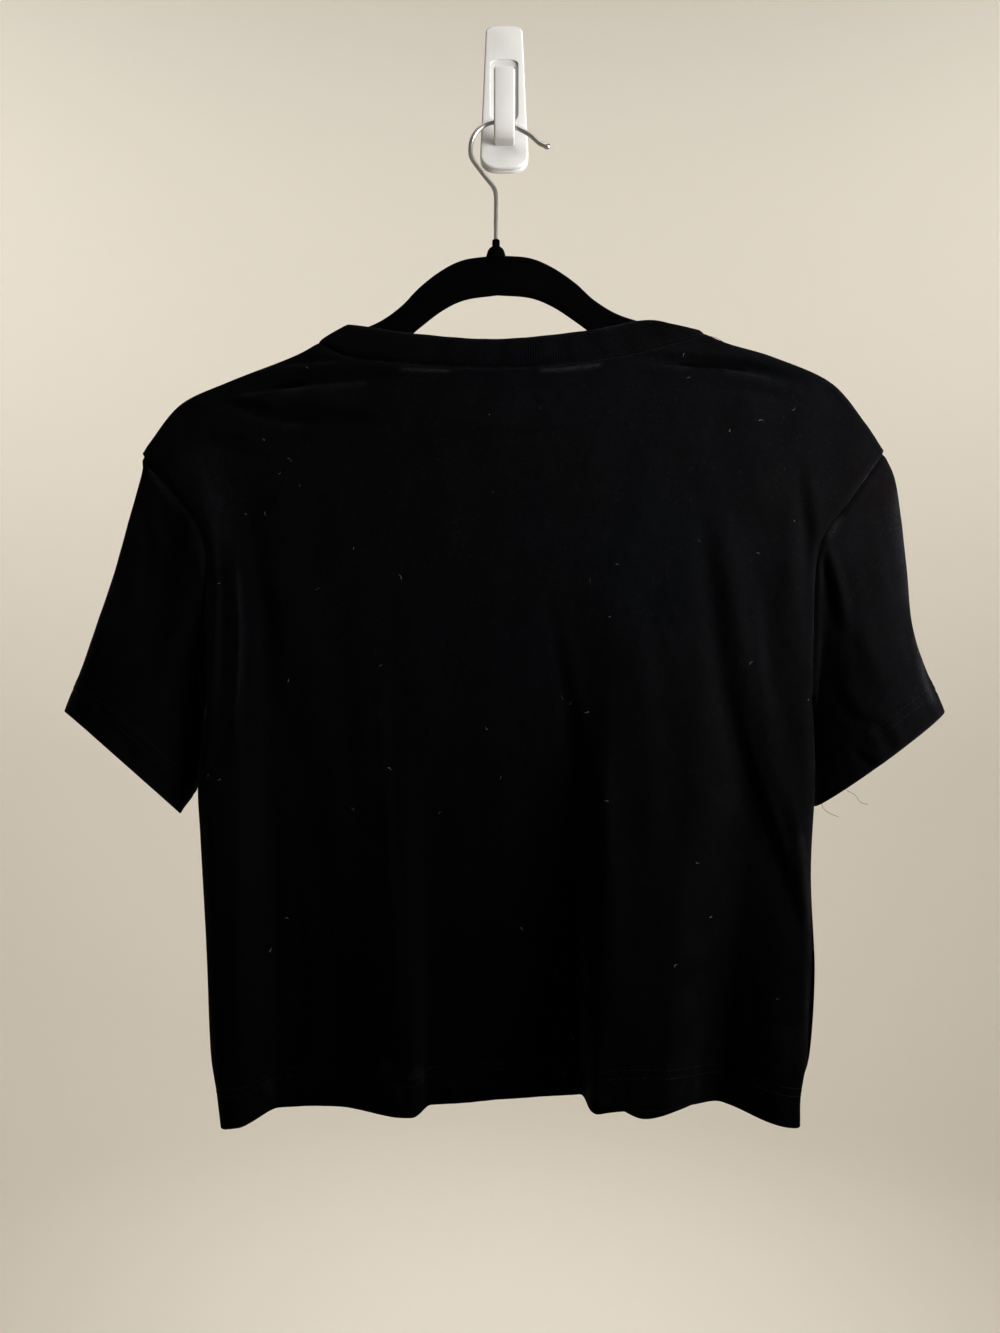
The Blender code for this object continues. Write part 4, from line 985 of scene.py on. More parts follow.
def hem_shape(above_edge, hem, along, seed):
    """Lift of a hem's outer face: its raised layer, two stitch grooves and the puckers."""
    random = np.random.default_rng(seed)
    raised = HEM_STEP * (1 - smooth((above_edge - hem) / HEM_STEP_WIDTH))
    below = above_edge - hem + FIRST_STITCH
    grooves = STITCH_DIP * (bell(below, STITCH_DIP_WIDTH)
                            + bell(below + TWIN_GAP, STITCH_DIP_WIDTH))
    waves = np.zeros(np.shape(along))
    for _ in range(5):
        length = random.uniform(*PUCKER_LENGTHS)
        waves = waves + np.sin(math.tau * along / length + random.uniform(0, math.tau))
    inside = smooth(above_edge / 0.004) * (1 - smooth((above_edge - hem) / 0.006))
    return raised - grooves + PUCKER * waves / 2 * inside


def borders(rows, columns, closed):
    """Rows and columns of the points along each border of a grid; a closed grid has only
    its first and last row, which come round to their first point."""
    across, up = np.arange(columns + closed), np.arange(rows)
    found = [(np.full_like(across, row), across) for row in (0, rows - 1)]
    if not closed:
        found += [(up, np.full_like(up, column)) for column in (0, columns - 1)]
    return found


Sewn = namedtuple("Sewn", "thing outer normals")


def paint(data, name, values):
    """Store a value for each point of a mesh; points past the values get 0."""
    full = np.zeros(len(data.vertices), np.float32)
    full[:values.size] = values.reshape(-1)
    data.attributes.new(name, "FLOAT", "POINT").data.foreach_set("value", full)


def sew(name, grid, normals, lift, thickness, closed, flat, wear_and_highlight, material, round_row):
    """A closed thin cloth. "lift" moves its outer face, "flat" is each point's place in the
    cut, and "round_row" is the border row whose rim is rounded."""
    whole = grid + normals * (JERSEY / 2 + lift)[..., None]
    outer, inner = whole, whole - normals * thickness[..., None]
    if closed:
        outer, inner, wear_and_highlight = outer[:, :-1], inner[:, :-1], wear_and_highlight[:, :-1]
    rows, columns = outer.shape[:2]
    cells = columns if closed else columns - 1
    number = np.arange(rows * columns).reshape(rows, columns)
    shift = rows * columns
    points = [outer.reshape(-1, 3), inner.reshape(-1, 3)]
    right = np.roll(number, -1, axis=1)[:, :cells]
    quads = np.stack([number[:-1, :cells], right[:-1], right[1:], number[1:, :cells]], -1)
    quads = quads.reshape(-1, 4)
    faces = [quads, quads[:, ::-1] + shift]
    # Each corner's place in the cut, kept per corner so that a tube's cut has its two ends.
    rows_at, columns_at = np.divmod(np.arange((rows - 1) * cells), cells)
    corners = np.stack([flat[rows_at, columns_at], flat[rows_at, columns_at + 1],
                        flat[rows_at + 1, columns_at + 1], flat[rows_at + 1, columns_at]], 1)
    cut = [corners, corners[:, ::-1]]
    extra = 2 * shift
    for rim_rows, rim_columns in borders(rows, columns, closed):
        rim = number[rim_rows, rim_columns % columns]
        first, second = rim[:-1], rim[1:]
        place = flat[rim_rows, rim_columns]
        ends = np.stack([place[:-1], place[1:]], 1)[:, [0, 0, 1, 1]]
        if rim_rows[0] == rim_rows[-1] == round_row:
            step = 1 if round_row == 0 else -1
            away = grid[round_row] - grid[round_row + step]
            away = away / np.linalg.norm(away, axis=-1, keepdims=True)
            middle = (outer[round_row] + inner[round_row]) / 2
            middle = middle + away[:len(middle)] * thickness[round_row].mean() * RIM_ROUND
            points.append(middle)
            third = extra + (first - number[round_row, 0])
            fourth = extra + (second - number[round_row, 0])
            extra += len(middle)
            faces += [np.stack([first, third, fourth, second], -1),
                      np.stack([third, first + shift, second + shift, fourth], -1)]
            cut += [ends, ends]
        else:
            faces.append(np.stack([first, first + shift, second + shift, second], -1))
            cut.append(ends)
    data = bpy.data.meshes.new(name)
    data.from_pydata(np.vstack(points).tolist(), [], np.vstack(faces).tolist())
    layer = data.uv_layers.new(name="cut")
    layer.data.foreach_set("uv", np.vstack(cut).reshape(-1).astype(np.float32))
    # the grey mask: wear and dust, with highlights painted along some ridges and folds
    paint(data, "wear_and_highlight", wear_and_highlight)
    paint(data, "outside", np.ones(shift))
    mesh = bmesh.new()
    mesh.from_mesh(data)
    bmesh.ops.recalc_face_normals(mesh, faces=mesh.faces)
    mesh.to_mesh(data)
    mesh.free()
    data.shade_smooth()
    data.materials.append(material)
    thing = add_object(name, data)
    area = sum(face.area for face in data.polygons) / 2
    print(name, len(data.polygons), "faces,", round(area, 4), "square metres of cloth")
    return Sewn(thing, whole, normals)


# %% [markdown]
# ## The jersey's finish
#
# Plain jersey is a knit of tiny V loops, about 14 columns to the centimetre. The pattern
# is drawn from the place in the cut, so that it runs with the cloth down the sleeves and
# round the folds. It only tilts the surface a little. Dyed black cotton reflects about one
# part in a thousand here, with a soft grey sheen where it is seen edge on, from fibre ends.
# The colour drifts slowly from a cool to a warm black. Wear and dust are mixed in, and in
# the same grey some highlights painted along ridges and folds. Last of all everything is
# darkened down the cloth: painted shade, for light that falls off downwards.

# %% Black jersey and rib
Knit = namedtuple("Knit", "wale course relief sheen")      # a column's width, a row's height
PLAIN = Knit(0.00072, 0.00058, 0.00005, 0.022)
RIB = Knit(0.00080, 0.00062, 0.00004, 0.024)
LOOP_SLANT = 0.9
VALLEY_WIDTH, VALLEY_SOFTNESS = 0.22, 0.1   # between two columns of loops, in their widths
LOOP_HEIGHT, VALLEY_HEIGHT = 0.35, 4.0
COOL_BLACK = (0.0008, 0.0009, 0.0012)
WARM_BLACK = (0.0010, 0.0008, 0.0009)
# the grey of dust and wear, also used for painted highlights
DUST_AND_HIGHLIGHT_GREY = (0.030, 0.030, 0.033)
# painted shade: how fast colour and sheen darken down the cloth
PAINTED_SHADE_PER_METRE = 1.9
PAINTED_SHADE_AT_TOP = 1.62         # over 1, so that the painted shade begins below the wall hook


def knit_height(cloth, knit):
    """Height of a knit from the place in the cut: V loops in columns."""
    place = cloth.add("ShaderNodeUVMap", {"uv_map": "cut"})
    split = cloth.add("ShaderNodeSeparateXYZ", Vector=place).node.outputs
    tent = cloth.math("PINGPONG", cloth.math("DIVIDE", split["X"], knit.wale), 0.5)
    row = cloth.math("DIVIDE", split["Y"], knit.course)
    tilted = cloth.math("MULTIPLY_ADD", tent, LOOP_SLANT, row)
    wave = cloth.math("SINE", cloth.math("MULTIPLY", tilted, math.tau))
    valley = cloth.math("SMOOTH_MIN", tent, VALLEY_WIDTH, VALLEY_SOFTNESS)
    return cloth.math("MULTIPLY_ADD", wave, LOOP_HEIGHT,
                      cloth.math("MULTIPLY", valley, VALLEY_HEIGHT))


def make_cloth(name, knit):
    """Knitted black cotton, with mottling, fibre fuzz, wear, dust, painted highlights and painted
    shade.
    """
    cloth = Finish(name, COOL_BLACK, 0.88, 0.01)
    cloth.set("Sheen Roughness", 0.42)
    cloth.set("Sheen Tint", (0.48, 0.50, 0.62))
    # painted shade: colour and sheen darken down the cloth, for light that falls off downwards
    height = cloth.add("ShaderNodeSeparateXYZ", Vector=cloth.where).node.outputs["Z"]
    painted_falloff = cloth.math("MULTIPLY_ADD", height, PAINTED_SHADE_PER_METRE, PAINTED_SHADE_AT_TOP, clamp=True)

    mottle = cloth.noise(420.0, 3.0, 0.7)
    sheen_amount = cloth.math("MULTIPLY_ADD", cloth.noise(38.0, 5.0, 0.7), 2.4 * knit.sheen,
                         -0.9 * knit.sheen)
    sheen_amount = cloth.math("MULTIPLY", mottle, sheen_amount, clamp=True)
    # the sheen takes the painted shade
    sheen_amount = cloth.math("MULTIPLY", sheen_amount, painted_falloff)
    cloth.set("Sheen Weight", cloth.math("MULTIPLY", sheen_amount, 6.6, clamp=True))

    colour = cloth.ramp(cloth.noise(6.0, 2.0), (0.35, COOL_BLACK), (0.65, WARM_BLACK))
    speckle = cloth.math("SUBTRACT", mottle, 0.58, clamp=True)
    colour = cloth.mix(cloth.math("MULTIPLY", speckle, 0.34), colour, DUST_AND_HIGHLIGHT_GREY)
    # wear and dust from the mesh, with highlights painted along some ridges and folds
    wear_and_highlight_mask = cloth.add("ShaderNodeAttribute", {"attribute_name": "wear_and_highlight"}).node.outputs["Fac"]
    broken = cloth.math("SUBTRACT", cloth.noise(900.0, 5.0, 0.75), 0.40, clamp=True)
    amount = cloth.math("MULTIPLY", cloth.math("MULTIPLY", wear_and_highlight_mask, broken), 1.6, clamp=True)
    colour = cloth.mix(amount, colour, DUST_AND_HIGHLIGHT_GREY)
    # painted shade: the colour darkens to black down the cloth
    cloth.set("Base Color", cloth.mix(painted_falloff, (0.0, 0.0, 0.0), colour))

    cloth.set("Roughness", cloth.math("MULTIPLY_ADD", mottle, 0.16, 0.80))
    fuzz = cloth.bump(cloth.noise(2600.0, 3.0, 0.8), 0.00006, 0.5)
    cloth.bump(knit_height(cloth, knit), knit.relief, 0.7, fuzz)
    return cloth.material


JERSEY_BLACK = make_cloth("black jersey", PLAIN)
RIB_BLACK = make_cloth("black rib", RIB)
THREAD_BLACK = Finish("black thread", (0.0014, 0.0014, 0.0016), 0.6, 0.05).material
print("cloth materials ready")

# %% [markdown]
# ## Sewing the five pieces
#
# The lift of the outer face is the sum of the creases, the slow unevenness, the dip at the
# seams and the hem. Relief fades out over the last few millimetres before a seam, so that
# two pieces that meet there stay together, and where the cloth turns sideways, so that it
# doesn't move the outline.

# %% Back and front
PANEL_CUT = (0.530, 0.560)            # width and length of the panel's cut
SLEEVE_CUT = (0.390, 0.182)           # round and along
BAND_CUT = (0.560, 0.016)
HEM_HEIGHT = 0.028
BESIDE_SEAM = 0.010        # over which the relief fades out towards a seam
NECK_GROOVE_AT = 0.0008    # from a panel's neck edge down to the groove under the band
NECK_STITCH = 0.0030       # and down to the row of stitches there
# The place of each of a panel's grid points in its cut.
PANEL_FLAT = np.stack(np.meshgrid(COLUMNS * PANEL_CUT[0], ROWS * PANEL_CUT[1]), -1)


def across_neck():
    """1 in the columns below the neck, fading out before the shoulders."""
    left_neck, right_neck = NECK_COLUMNS
    inside = np.minimum(COLUMNS - left_neck, right_neck - COLUMNS)
    return smooth(inside / 0.05)[None, :]


def sew_panel(name, grid, normals, seam, creases, places, seed):
    x, z = grid[..., 0], grid[..., 2]
    relief = creased(x, z, creases) + unevenness(x, z, seed)
    calm = smooth(seam / BESIDE_SEAM) * np.abs(normals[..., 1])
    above_edge = run_length(grid, 3)
    along = COLUMNS[None, :] * PANEL_CUT[0]
    hem = hem_shape(above_edge, HEM_HEIGHT, np.broadcast_to(along, x.shape), seed)
    from_neck = above_edge[-1] - above_edge
    under_band = (NECK_GROOVE * bell(from_neck - NECK_GROOVE_AT, NECK_GROOVE_WIDTH)
                  * across_neck())
    lift = relief * calm + seam_shape(seam) + hem * smooth(seam / 0.003) - under_band
    thickness = np.where(above_edge < HEM_HEIGHT, HEM_DOUBLE, CLOTH)
    # dust and wear, with highlights painted along some ridges and folds, and the rubbed line
    # along the hem's edge
    dust_and_highlight = np.maximum(wear_and_highlights(x, z, places), 0.35 * bell(above_edge, RUBBED_EDGE))
    return sew(name, grid, normals, lift, thickness, False, PANEL_FLAT, dust_and_highlight,
               JERSEY_BLACK, 0)


back = sew_panel("jersey_back", BACK, BACK_N, BACK_SEAM, BACK_CREASES, BACK_WEAR_AND_HIGHLIGHTS, 11)
front = sew_panel("jersey_front", FRONT, FRONT_N, FRONT_SEAM, FRONT_CREASES, FRONT_WEAR_AND_HIGHLIGHTS, 23)
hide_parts("back")
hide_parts("front")


# %% Sleeves
CUFF_HEIGHT = 0.022


def sew_sleeve(name, grid, normals, is_back, creases, places, seed):
    x, z = grid[..., 0], grid[..., 2]
    from_seam = run_length(grid, 3)
    above_edge = from_seam[-1] - from_seam
    half = len(is_back) // 2
    around = np.abs(np.arange(len(is_back)) - half) / half
    between_folds = smooth(np.sin(np.pi * around) * 2.5)[None, :]
    relief = np.where(is_back, creased(x, z, creases[0]), creased(x, z, creases[1]))
    relief = relief * between_folds + unevenness(x, z, seed, height=0.0003)
    run = run_length(grid[-1], 3)
    hem = hem_shape(above_edge, CUFF_HEIGHT, np.broadcast_to(run, x.shape), seed)
    lift = relief * smooth(from_seam / BESIDE_SEAM) + seam_shape(from_seam) + hem
    thickness = np.where(above_edge < CUFF_HEIGHT, HEM_DOUBLE, CLOTH)
    # dust and wear, with highlights painted along the outer folds, fainter on the front, and the
    # rubbed cuff edge
    dust_and_highlight = wear_and_highlights(x, z, places) * np.where(is_back, 1.0, 0.4)
    dust_and_highlight = np.maximum(dust_and_highlight, 0.4 * bell(above_edge, RUBBED_EDGE))
    flat = np.stack([np.broadcast_to(run / run[-1], x.shape) * SLEEVE_CUT[0],
                     from_seam / from_seam[-1] * SLEEVE_CUT[1]], -1)
    return sew(name, grid, normals, lift, thickness, True, flat, dust_and_highlight, JERSEY_BLACK,
               len(grid) - 1)


left_sleeve = sew_sleeve("jersey_sleeve_left", LEFT_SLEEVE, LEFT_N, LEFT_IS_BACK,
                         LEFT_SLEEVE_CREASES, LEFT_SLEEVE_WEAR_AND_HIGHLIGHTS, 31)
right_sleeve = sew_sleeve("jersey_sleeve_right", RIGHT_SLEEVE, RIGHT_N, RIGHT_IS_BACK,
                          RIGHT_SLEEVE_CREASES, RIGHT_SLEEVE_WEAR_AND_HIGHLIGHTS, 47)
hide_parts("sleeve_left")
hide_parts("sleeve_right")

# %% Neckband, with columns close enough together to carry its ribs
RIB_PITCH = 0.0018
COLUMNS_PER_RIB = 6
BAND_THICKNESS = 0.0014
BAND_PLUMPNESS = 0.0005    # a strip folded lengthwise is plump in the middle, round on top
BAND_WAVE, BAND_WAVE_LENGTH = 0.0002, 0.023


def denser(values, marks, places):
    """Values along the second axis of a grid, read at new places between its marks."""
    right = np.clip(np.searchsorted(marks, places, side="right"), 1, len(marks) - 1)
    share = (places - marks[right - 1]) / (marks[right] - marks[right - 1])
    share = share[None, :, None]
    return values[:, right - 1] * (1 - share) + values[:, right] * share


def sew_neckband():
    run = run_length(NECKBAND[0], 3)
    ribs = round(run[-1] / RIB_PITCH)
    even = np.linspace(0, run[-1], ribs * COLUMNS_PER_RIB + 1)
    places = np.unique(np.concatenate([even, run]).round(7))
    places = places[np.concatenate([[True], np.diff(places) > 2e-6])]
    places[-1] = run[-1]
    grid = denser(NECKBAND, run, places)
    normals = denser(BAND_N, run, places)
    normals /= np.linalg.norm(normals, axis=-1, keepdims=True)
    up = run_length(grid, 3)
    width = up[-1]
    plump = BAND_PLUMPNESS * np.sin(np.pi * np.clip(up / width, 0, 1)) ** 0.6
    lift = plump - SEAM_DIP * bell(up, SEAM_DIP_WIDTH)
    wave = BAND_WAVE * np.sin(math.tau * places / BAND_WAVE_LENGTH + 1.0)
    lift = lift + wave * smooth(up / 0.004)
    thickness = np.full(up.shape, BAND_THICKNESS)
    # only wear here: the rubbed free edge of the band
    dust_and_highlight = 0.25 * bell(up - width, RUBBED_EDGE)
    flat = np.stack([np.broadcast_to(places, up.shape) * (BAND_CUT[0] / run[-1]),
                     up / width * BAND_CUT[1]], -1)
    piece = sew("rib_neckband", grid, normals, lift, thickness, True, flat, dust_and_highlight, RIB_BLACK,
                len(grid) - 1)
    phase = np.broadcast_to(places * ribs / run[-1], up.shape)
    fade = smooth(up / 0.0015) * (1 - 0.6 * smooth(up / width * 5 - 4))
    paint(piece.thing.data, "rib_phase", phase[:, :-1])
    paint(piece.thing.data, "rib_fade", fade[:, :-1])
    return piece


neckband = sew_neckband()

# %% [markdown]
# ## What repeats: ribs, stitches and lint
#
# Ribs, stitches and lint each repeat one small thing hundreds of times along a line or over
# a surface, so Geometry Nodes make them. Each small tree is built here, has its sizes as
# named inputs, and is turned into a plain mesh straight away.


# %% Trees with named sizes, and what comes of them
class SizedTree(Nodes):
    """A Geometry Nodes tree whose sizes are named inputs."""

    def __init__(self, name, sizes):
        super().__init__(bpy.data.node_groups.new(name, "GeometryNodeTree"))
        face = self.tree.interface
        face.new_socket("Geometry", in_out="INPUT", socket_type="NodeSocketGeometry")
        face.new_socket("Geometry", in_out="OUTPUT", socket_type="NodeSocketGeometry")
        for label, value in sizes.items():
            size = face.new_socket(label, in_out="INPUT", socket_type="NodeSocketFloat")
            size.default_value = value
        self.given = self.add("NodeGroupInput").node.outputs

    def random(self, low, high, seed):
        return self.add("FunctionNodeRandomValue", {"data_type": "FLOAT"}, Min=low, Max=high,
                        Seed=seed)

    def stored(self, name):
        """A value that the mesh carries at each point."""
        return self.add("GeometryNodeInputNamedAttribute", {"data_type": "FLOAT"}, Name=name)

    def finish(self, geometry, material):
        """The tree's end: Realize Instances, then Set Material."""
        real = self.add("GeometryNodeRealizeInstances", Geometry=geometry)
        painted = self.add("GeometryNodeSetMaterial", Geometry=real, Material=material)
        self.put(self.tree.nodes.new("NodeGroupOutput").inputs["Geometry"], painted)
        return self.tree


def shown_mesh(source, name, material):
    """What an object shows once its modifiers have run, as a plain mesh of one material."""
    bpy.context.view_layer.update()
    evaluated = source.evaluated_get(bpy.context.evaluated_depsgraph_get())
    data = bpy.data.meshes.new_from_object(evaluated)
    data.name = name
    data.materials.clear()
    data.materials.append(material)
    return data


def grow(source, tree, name, material, **sizes):
    """Run a tree on an object and return its result as a new plain mesh object."""
    modifier = source.modifiers.new("grow", "NODES")
    modifier.node_group = tree
    for item in tree.interface.items_tree:
        if item.in_out == "INPUT" and item.name in sizes:
            modifier[item.identifier] = sizes[item.name]
    data = shown_mesh(source, name, material)
    source.modifiers.remove(modifier)
    return add_object(name, data)


# %% Ribs of the neckband
def rib_tree():
    """Moves the outer face in and out by a sine of the rib's phase."""
    tree = SizedTree("ribs", {"Rib height": 0.00012})
    phase, fade = tree.stored("rib_phase"), tree.stored("rib_fade")
    wave = tree.math("SINE", tree.math("MULTIPLY", phase, math.tau))
    tall = tree.math("MULTIPLY", wave, tree.given["Rib height"])
    away = tree.add("ShaderNodeVectorMath", {"operation": "SCALE"},
                    Vector=tree.add("GeometryNodeInputNormal"),
                    Scale=tree.math("MULTIPLY", tall, fade))
    moved = tree.add("GeometryNodeSetPosition", Geometry=tree.given["Geometry"], Offset=away)
    return tree.finish(moved, RIB_BLACK)


ribbed = grow(neckband.thing, rib_tree(), "ribbed_neckband", RIB_BLACK)
bpy.data.objects.remove(neckband.thing)
neckband = Sewn(ribbed, neckband.outer, neckband.normals)
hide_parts("neckband")
print("ribbed neckband", len(ribbed.data.polygons), "faces")


# %% Stitches: grains of thread laid along a line
def stitch_tree():
    tree = SizedTree("stitches", {"Pitch": 0.0032, "Stitch length": 0.0024, "Thread": 0.00042})
    curve = tree.add("GeometryNodeMeshToCurve", Mesh=tree.given["Geometry"])
    spots = tree.add("GeometryNodeCurveToPoints", {"mode": "LENGTH"}, Curve=curve,
                     Length=tree.given["Pitch"])
    grain = tree.add("GeometryNodeMeshUVSphere", Segments=6, Rings=5, Radius=0.5)
    turned = tree.add("FunctionNodeAlignRotationToVector", {"axis": "Z"},
                      Vector=spots.node.outputs["Tangent"])
    length = tree.math("MULTIPLY", tree.given["Stitch length"], tree.random(0.82, 1.12, 5))
    size = tree.add("ShaderNodeCombineXYZ", X=tree.given["Thread"], Y=tree.given["Thread"],
                    Z=length)
    laid = tree.add("GeometryNodeInstanceOnPoints", Points=spots, Instance=grain,
                    Rotation=turned, Scale=size)
    return tree.finish(tree.add("GeometryNodeSetShadeSmooth", Geometry=laid), THREAD_BLACK)


STITCHES = stitch_tree()
ABOVE_CLOTH = 0.00008      # how far a line of stitches lies above the outer face


def line_object(name, runs):
    """Loose lines through rows of points; a run is (points, closed)."""
    points, edges = [], []
    for row, closed in runs:
        first = len(points)
        points += [tuple(point) for point in row]
        edges += [(first + i, first + i + 1) for i in range(len(row) - 1)]
        if closed:
            edges.append((len(points) - 1, first))
    data = bpy.data.meshes.new(name)
    data.from_pydata(points, edges, [])
    return add_object(name, data)


def line_at(sewn, distance, wanted, closed):
    """Points on a piece's outer face where "distance" along its columns reaches "wanted"."""
    row = []
    for column in range(sewn.outer.shape[1] - (1 if closed else 0)):
        order = np.argsort(distance[:, column])
        run = distance[order, column]
        point, normal = [np.array([np.interp(wanted, run, values[order, column, axis])
                                   for axis in range(3)])
                         for values in (sewn.outer, sewn.normals)]
        row.append(point + normal * ABOVE_CLOTH)
    return row


def sew_line(name, runs, **sizes):
    """Stitches along lines, each line a run of points."""
    line = line_object(name + "_line", runs)
    made = grow(line, STITCHES, name, THREAD_BLACK, **sizes)
    bpy.data.objects.remove(line)
    return made


def hem_stitches(name, sewn, distance, hem, closed):
    return sew_line(name, [(line_at(sewn, distance, hem - FIRST_STITCH - gap, closed), closed)
                           for gap in (0.0, TWIN_GAP)])


left_down = run_length(LEFT_SLEEVE, 3)
right_down = run_length(RIGHT_SLEEVE, 3)
stitches = {
    "back": hem_stitches("stitches_hem_back", back, run_length(BACK, 3), HEM_HEIGHT, False),
    "front": hem_stitches("stitches_hem_front", front, run_length(FRONT, 3), HEM_HEIGHT,
                          False),
    "left": hem_stitches("stitches_cuff_left", left_sleeve, left_down[-1] - left_down,
                         CUFF_HEIGHT, True),
    "right": hem_stitches("stitches_cuff_right", right_sleeve, right_down[-1] - right_down,
                          CUFF_HEIGHT, True),
}


# %% The row of stitches that holds the neck's seam down
def neck_stitches():
    left_neck, right_neck = NECK_COLUMNS
    neck = (COLUMNS > left_neck + 0.004) & (COLUMNS < right_neck - 0.004)
    runs = []
    for sewn in (back, front):
        run = run_length(sewn.outer, 3)
        row = line_at(sewn, run[-1] - run, NECK_STITCH, False)
        runs.append(([point for point, use in zip(row, neck) if use], False))
    return sew_line("stitches_neck", runs, Pitch=0.0028)


stitches["neck"] = neck_stitches()
print("stitches", {name: len(made.data.polygons) for name, made in stitches.items()})

# %% [markdown]
# ## Lint
#
# Every black top carries some: short pale fibres, bent, lying flat. A few lie where they
# can be seen in the picture. The rest are strewn thinly by a fixed seed on all sides.

# %% One bent fibre, strewn or placed
LINT = Finish("pale lint", (0.20, 0.20, 0.21), 0.9, 0.1).material


def lint_tree(strewn):
    tree = SizedTree("lint strewn" if strewn else "lint placed",
                     {"Density": 150.0, "Fibre length": 0.0026, "Fibre": 0.00005})
    if strewn:
        chosen = tree.add("FunctionNodeCompare",
                          {"data_type": "FLOAT", "operation": "GREATER_THAN"},
                          A=tree.stored("outside"), B=0.99)
        points = tree.add("GeometryNodeDistributePointsOnFaces",
                          {"distribute_method": "RANDOM"}, Mesh=tree.given["Geometry"],
                          Selection=chosen, Density=tree.given["Density"], Seed=17)
        rotation = points.node.outputs["Rotation"]
    else:
        points = tree.given["Geometry"]
        rotation = tree.add("FunctionNodeEulerToRotation", Euler=(math.radians(90), 0.0, 0.0))
    bend = tree.add("GeometryNodeCurveQuadraticBezier", Resolution=6, Start=(-0.5, 0.0, 0.03),
                    Middle=(0.05, 0.42, 0.10), End=(0.5, -0.06, 0.03))
    ring = tree.add("GeometryNodeCurvePrimitiveCircle", Resolution=4,
                    Radius=tree.given["Fibre"])
    about = tree.add("ShaderNodeCombineXYZ", Z=tree.random(0.0, math.tau, 3))
    turned = tree.add("FunctionNodeRotateRotation", {"rotation_space": "LOCAL"},
                      Rotation=rotation,
                      Rotate_By=tree.add("FunctionNodeEulerToRotation", Euler=about))
    size = tree.math("MULTIPLY", tree.given["Fibre length"], tree.random(0.35, 1.25, 9))
    lines = tree.add("GeometryNodeInstanceOnPoints", Points=points, Instance=bend,
                     Rotation=turned,
                     Scale=tree.add("ShaderNodeCombineXYZ", X=size, Y=size, Z=size))
    real = tree.add("GeometryNodeRealizeInstances", Geometry=lines)
    tube = tree.add("GeometryNodeCurveToMesh", Curve=real, Profile_Curve=ring, Fill_Caps=True)
    return tree.finish(tube, LINT)


STREWN = lint_tree(True)
PLACED = lint_tree(False)
lint = {part: grow(sewn.thing, STREWN, "lint_" + part, LINT)
        for part, sewn in (("back", back), ("front", front), ("sleeve_left", left_sleeve),
                           ("sleeve_right", right_sleeve))}
print("lint", {name: len(made.data.polygons) for name, made in lint.items()})


# %% Lint where the picture shows it, and the loose threads
SPECKS = ((-79.6, -476.5), (-8.5, -289.6), (-71.4, -347.8), (-146.7, -264.3), (-178, -302),
          (58.5, -348), (155, -245), (176, -240), (12, -590), (-200, -481), (-193, -483),
          (124, -193), (199, -308), (56, -439))          # x and z in mm
SPECK_HEIGHT = 0.00015     # above the cloth
THREAD_RADIUS = 0.00014


def surface_point(sewn, x, z):
    """The point of a piece's outer face nearest to an x and z, a little off it."""
    gap = np.hypot(sewn.outer[..., 0] - x, sewn.outer[..., 2] - z)
    at = np.unravel_index(gap.argmin(), gap.shape)
    return sewn.outer[at] + sewn.normals[at] * SPECK_HEIGHT


specks = line_object("specks", [([surface_point(back, x / 1000, z / 1000)], False)
                                for x, z in SPECKS])
lint["seen"] = grow(specks, PLACED, "lint_seen", LINT, **{"Fibre length": 0.0036})
bpy.data.objects.remove(specks)

THREADS = {
    "below the right cuff": ((0.2225, -0.0200, -0.5010), (0.2215, -0.0240, -0.5050),
                             (0.2250, -0.0270, -0.5085), (0.2310, -0.0280, -0.5110)),
    "at the cuff's edge": ((0.2350, -0.0330, -0.4920), (0.2400, -0.0345, -0.4950),
                           (0.2440, -0.0350, -0.5000), (0.2490, -0.0345, -0.5015)),
    "on the shoulder": ((0.1400, -0.0245, -0.1770), (0.1470, -0.0250, -0.1785),
                        (0.1530, -0.0250, -0.1820), (0.1570, -0.0260, -0.1850)),
}


def curve_object(name, paths, **settings):
    """A curve object through rows of points; the settings are the curve's own."""
    curve = bpy.data.curves.new(name, "CURVE")
    for key, value in settings.items():
        setattr(curve, key, value)
    for path in paths:
        spline = curve.splines.new("POLY")
        spline.points.add(len(path) - 1)
        for knot, point in zip(spline.points, path):
            knot.co = (*point, 1)
    return add_object(name, curve)


source = curve_object("loose_threads", [curve_through(path, 6) for path in THREADS.values()],
                      dimensions="3D", bevel_depth=THREAD_RADIUS, bevel_resolution=1,
                      use_fill_caps=True)
data = shown_mesh(source, "loose_threads", THREAD_BLACK)
data.shade_smooth()
bpy.data.objects.remove(source)
threads = add_object("loose_threads", data)
print(len(SPECKS), "specks and", len(THREADS), "loose threads")

# %% [markdown]
# ## Hanger, wire hook and wall hook
#
# The hanger is a flat plastic arch covered in short black flock: its edges are rounded, and
# the flock makes it duller than the cloth, with a faint bloom where light skims it. The
# wire is plated steel, bent round one crown and kicked out at its end, which has a small
# bulb. The wall hook is two smooth white mouldings, a plate with a shallow arched recess
# and a pad with the arm that grows out of it.

# %% Helpers for hard pieces
def evaluated_mesh(source, name, material):
    """A plain mesh object of what a source shows; the source is removed."""
    data = shown_mesh(source, name, material)
    data.transform(source.matrix_world)
    mesh = bmesh.new()
    mesh.from_mesh(data)
    bmesh.ops.remove_doubles(mesh, verts=mesh.verts, dist=1e-6)
    bmesh.ops.dissolve_degenerate(mesh, edges=mesh.edges, dist=1e-7)
    bmesh.ops.recalc_face_normals(mesh, faces=mesh.faces)
    mesh.to_mesh(data)
    mesh.free()
    bpy.data.objects.remove(source)
    data.shade_smooth()
    data.set_sharp_from_angle(angle=math.radians(50))
    return add_object(name, data)


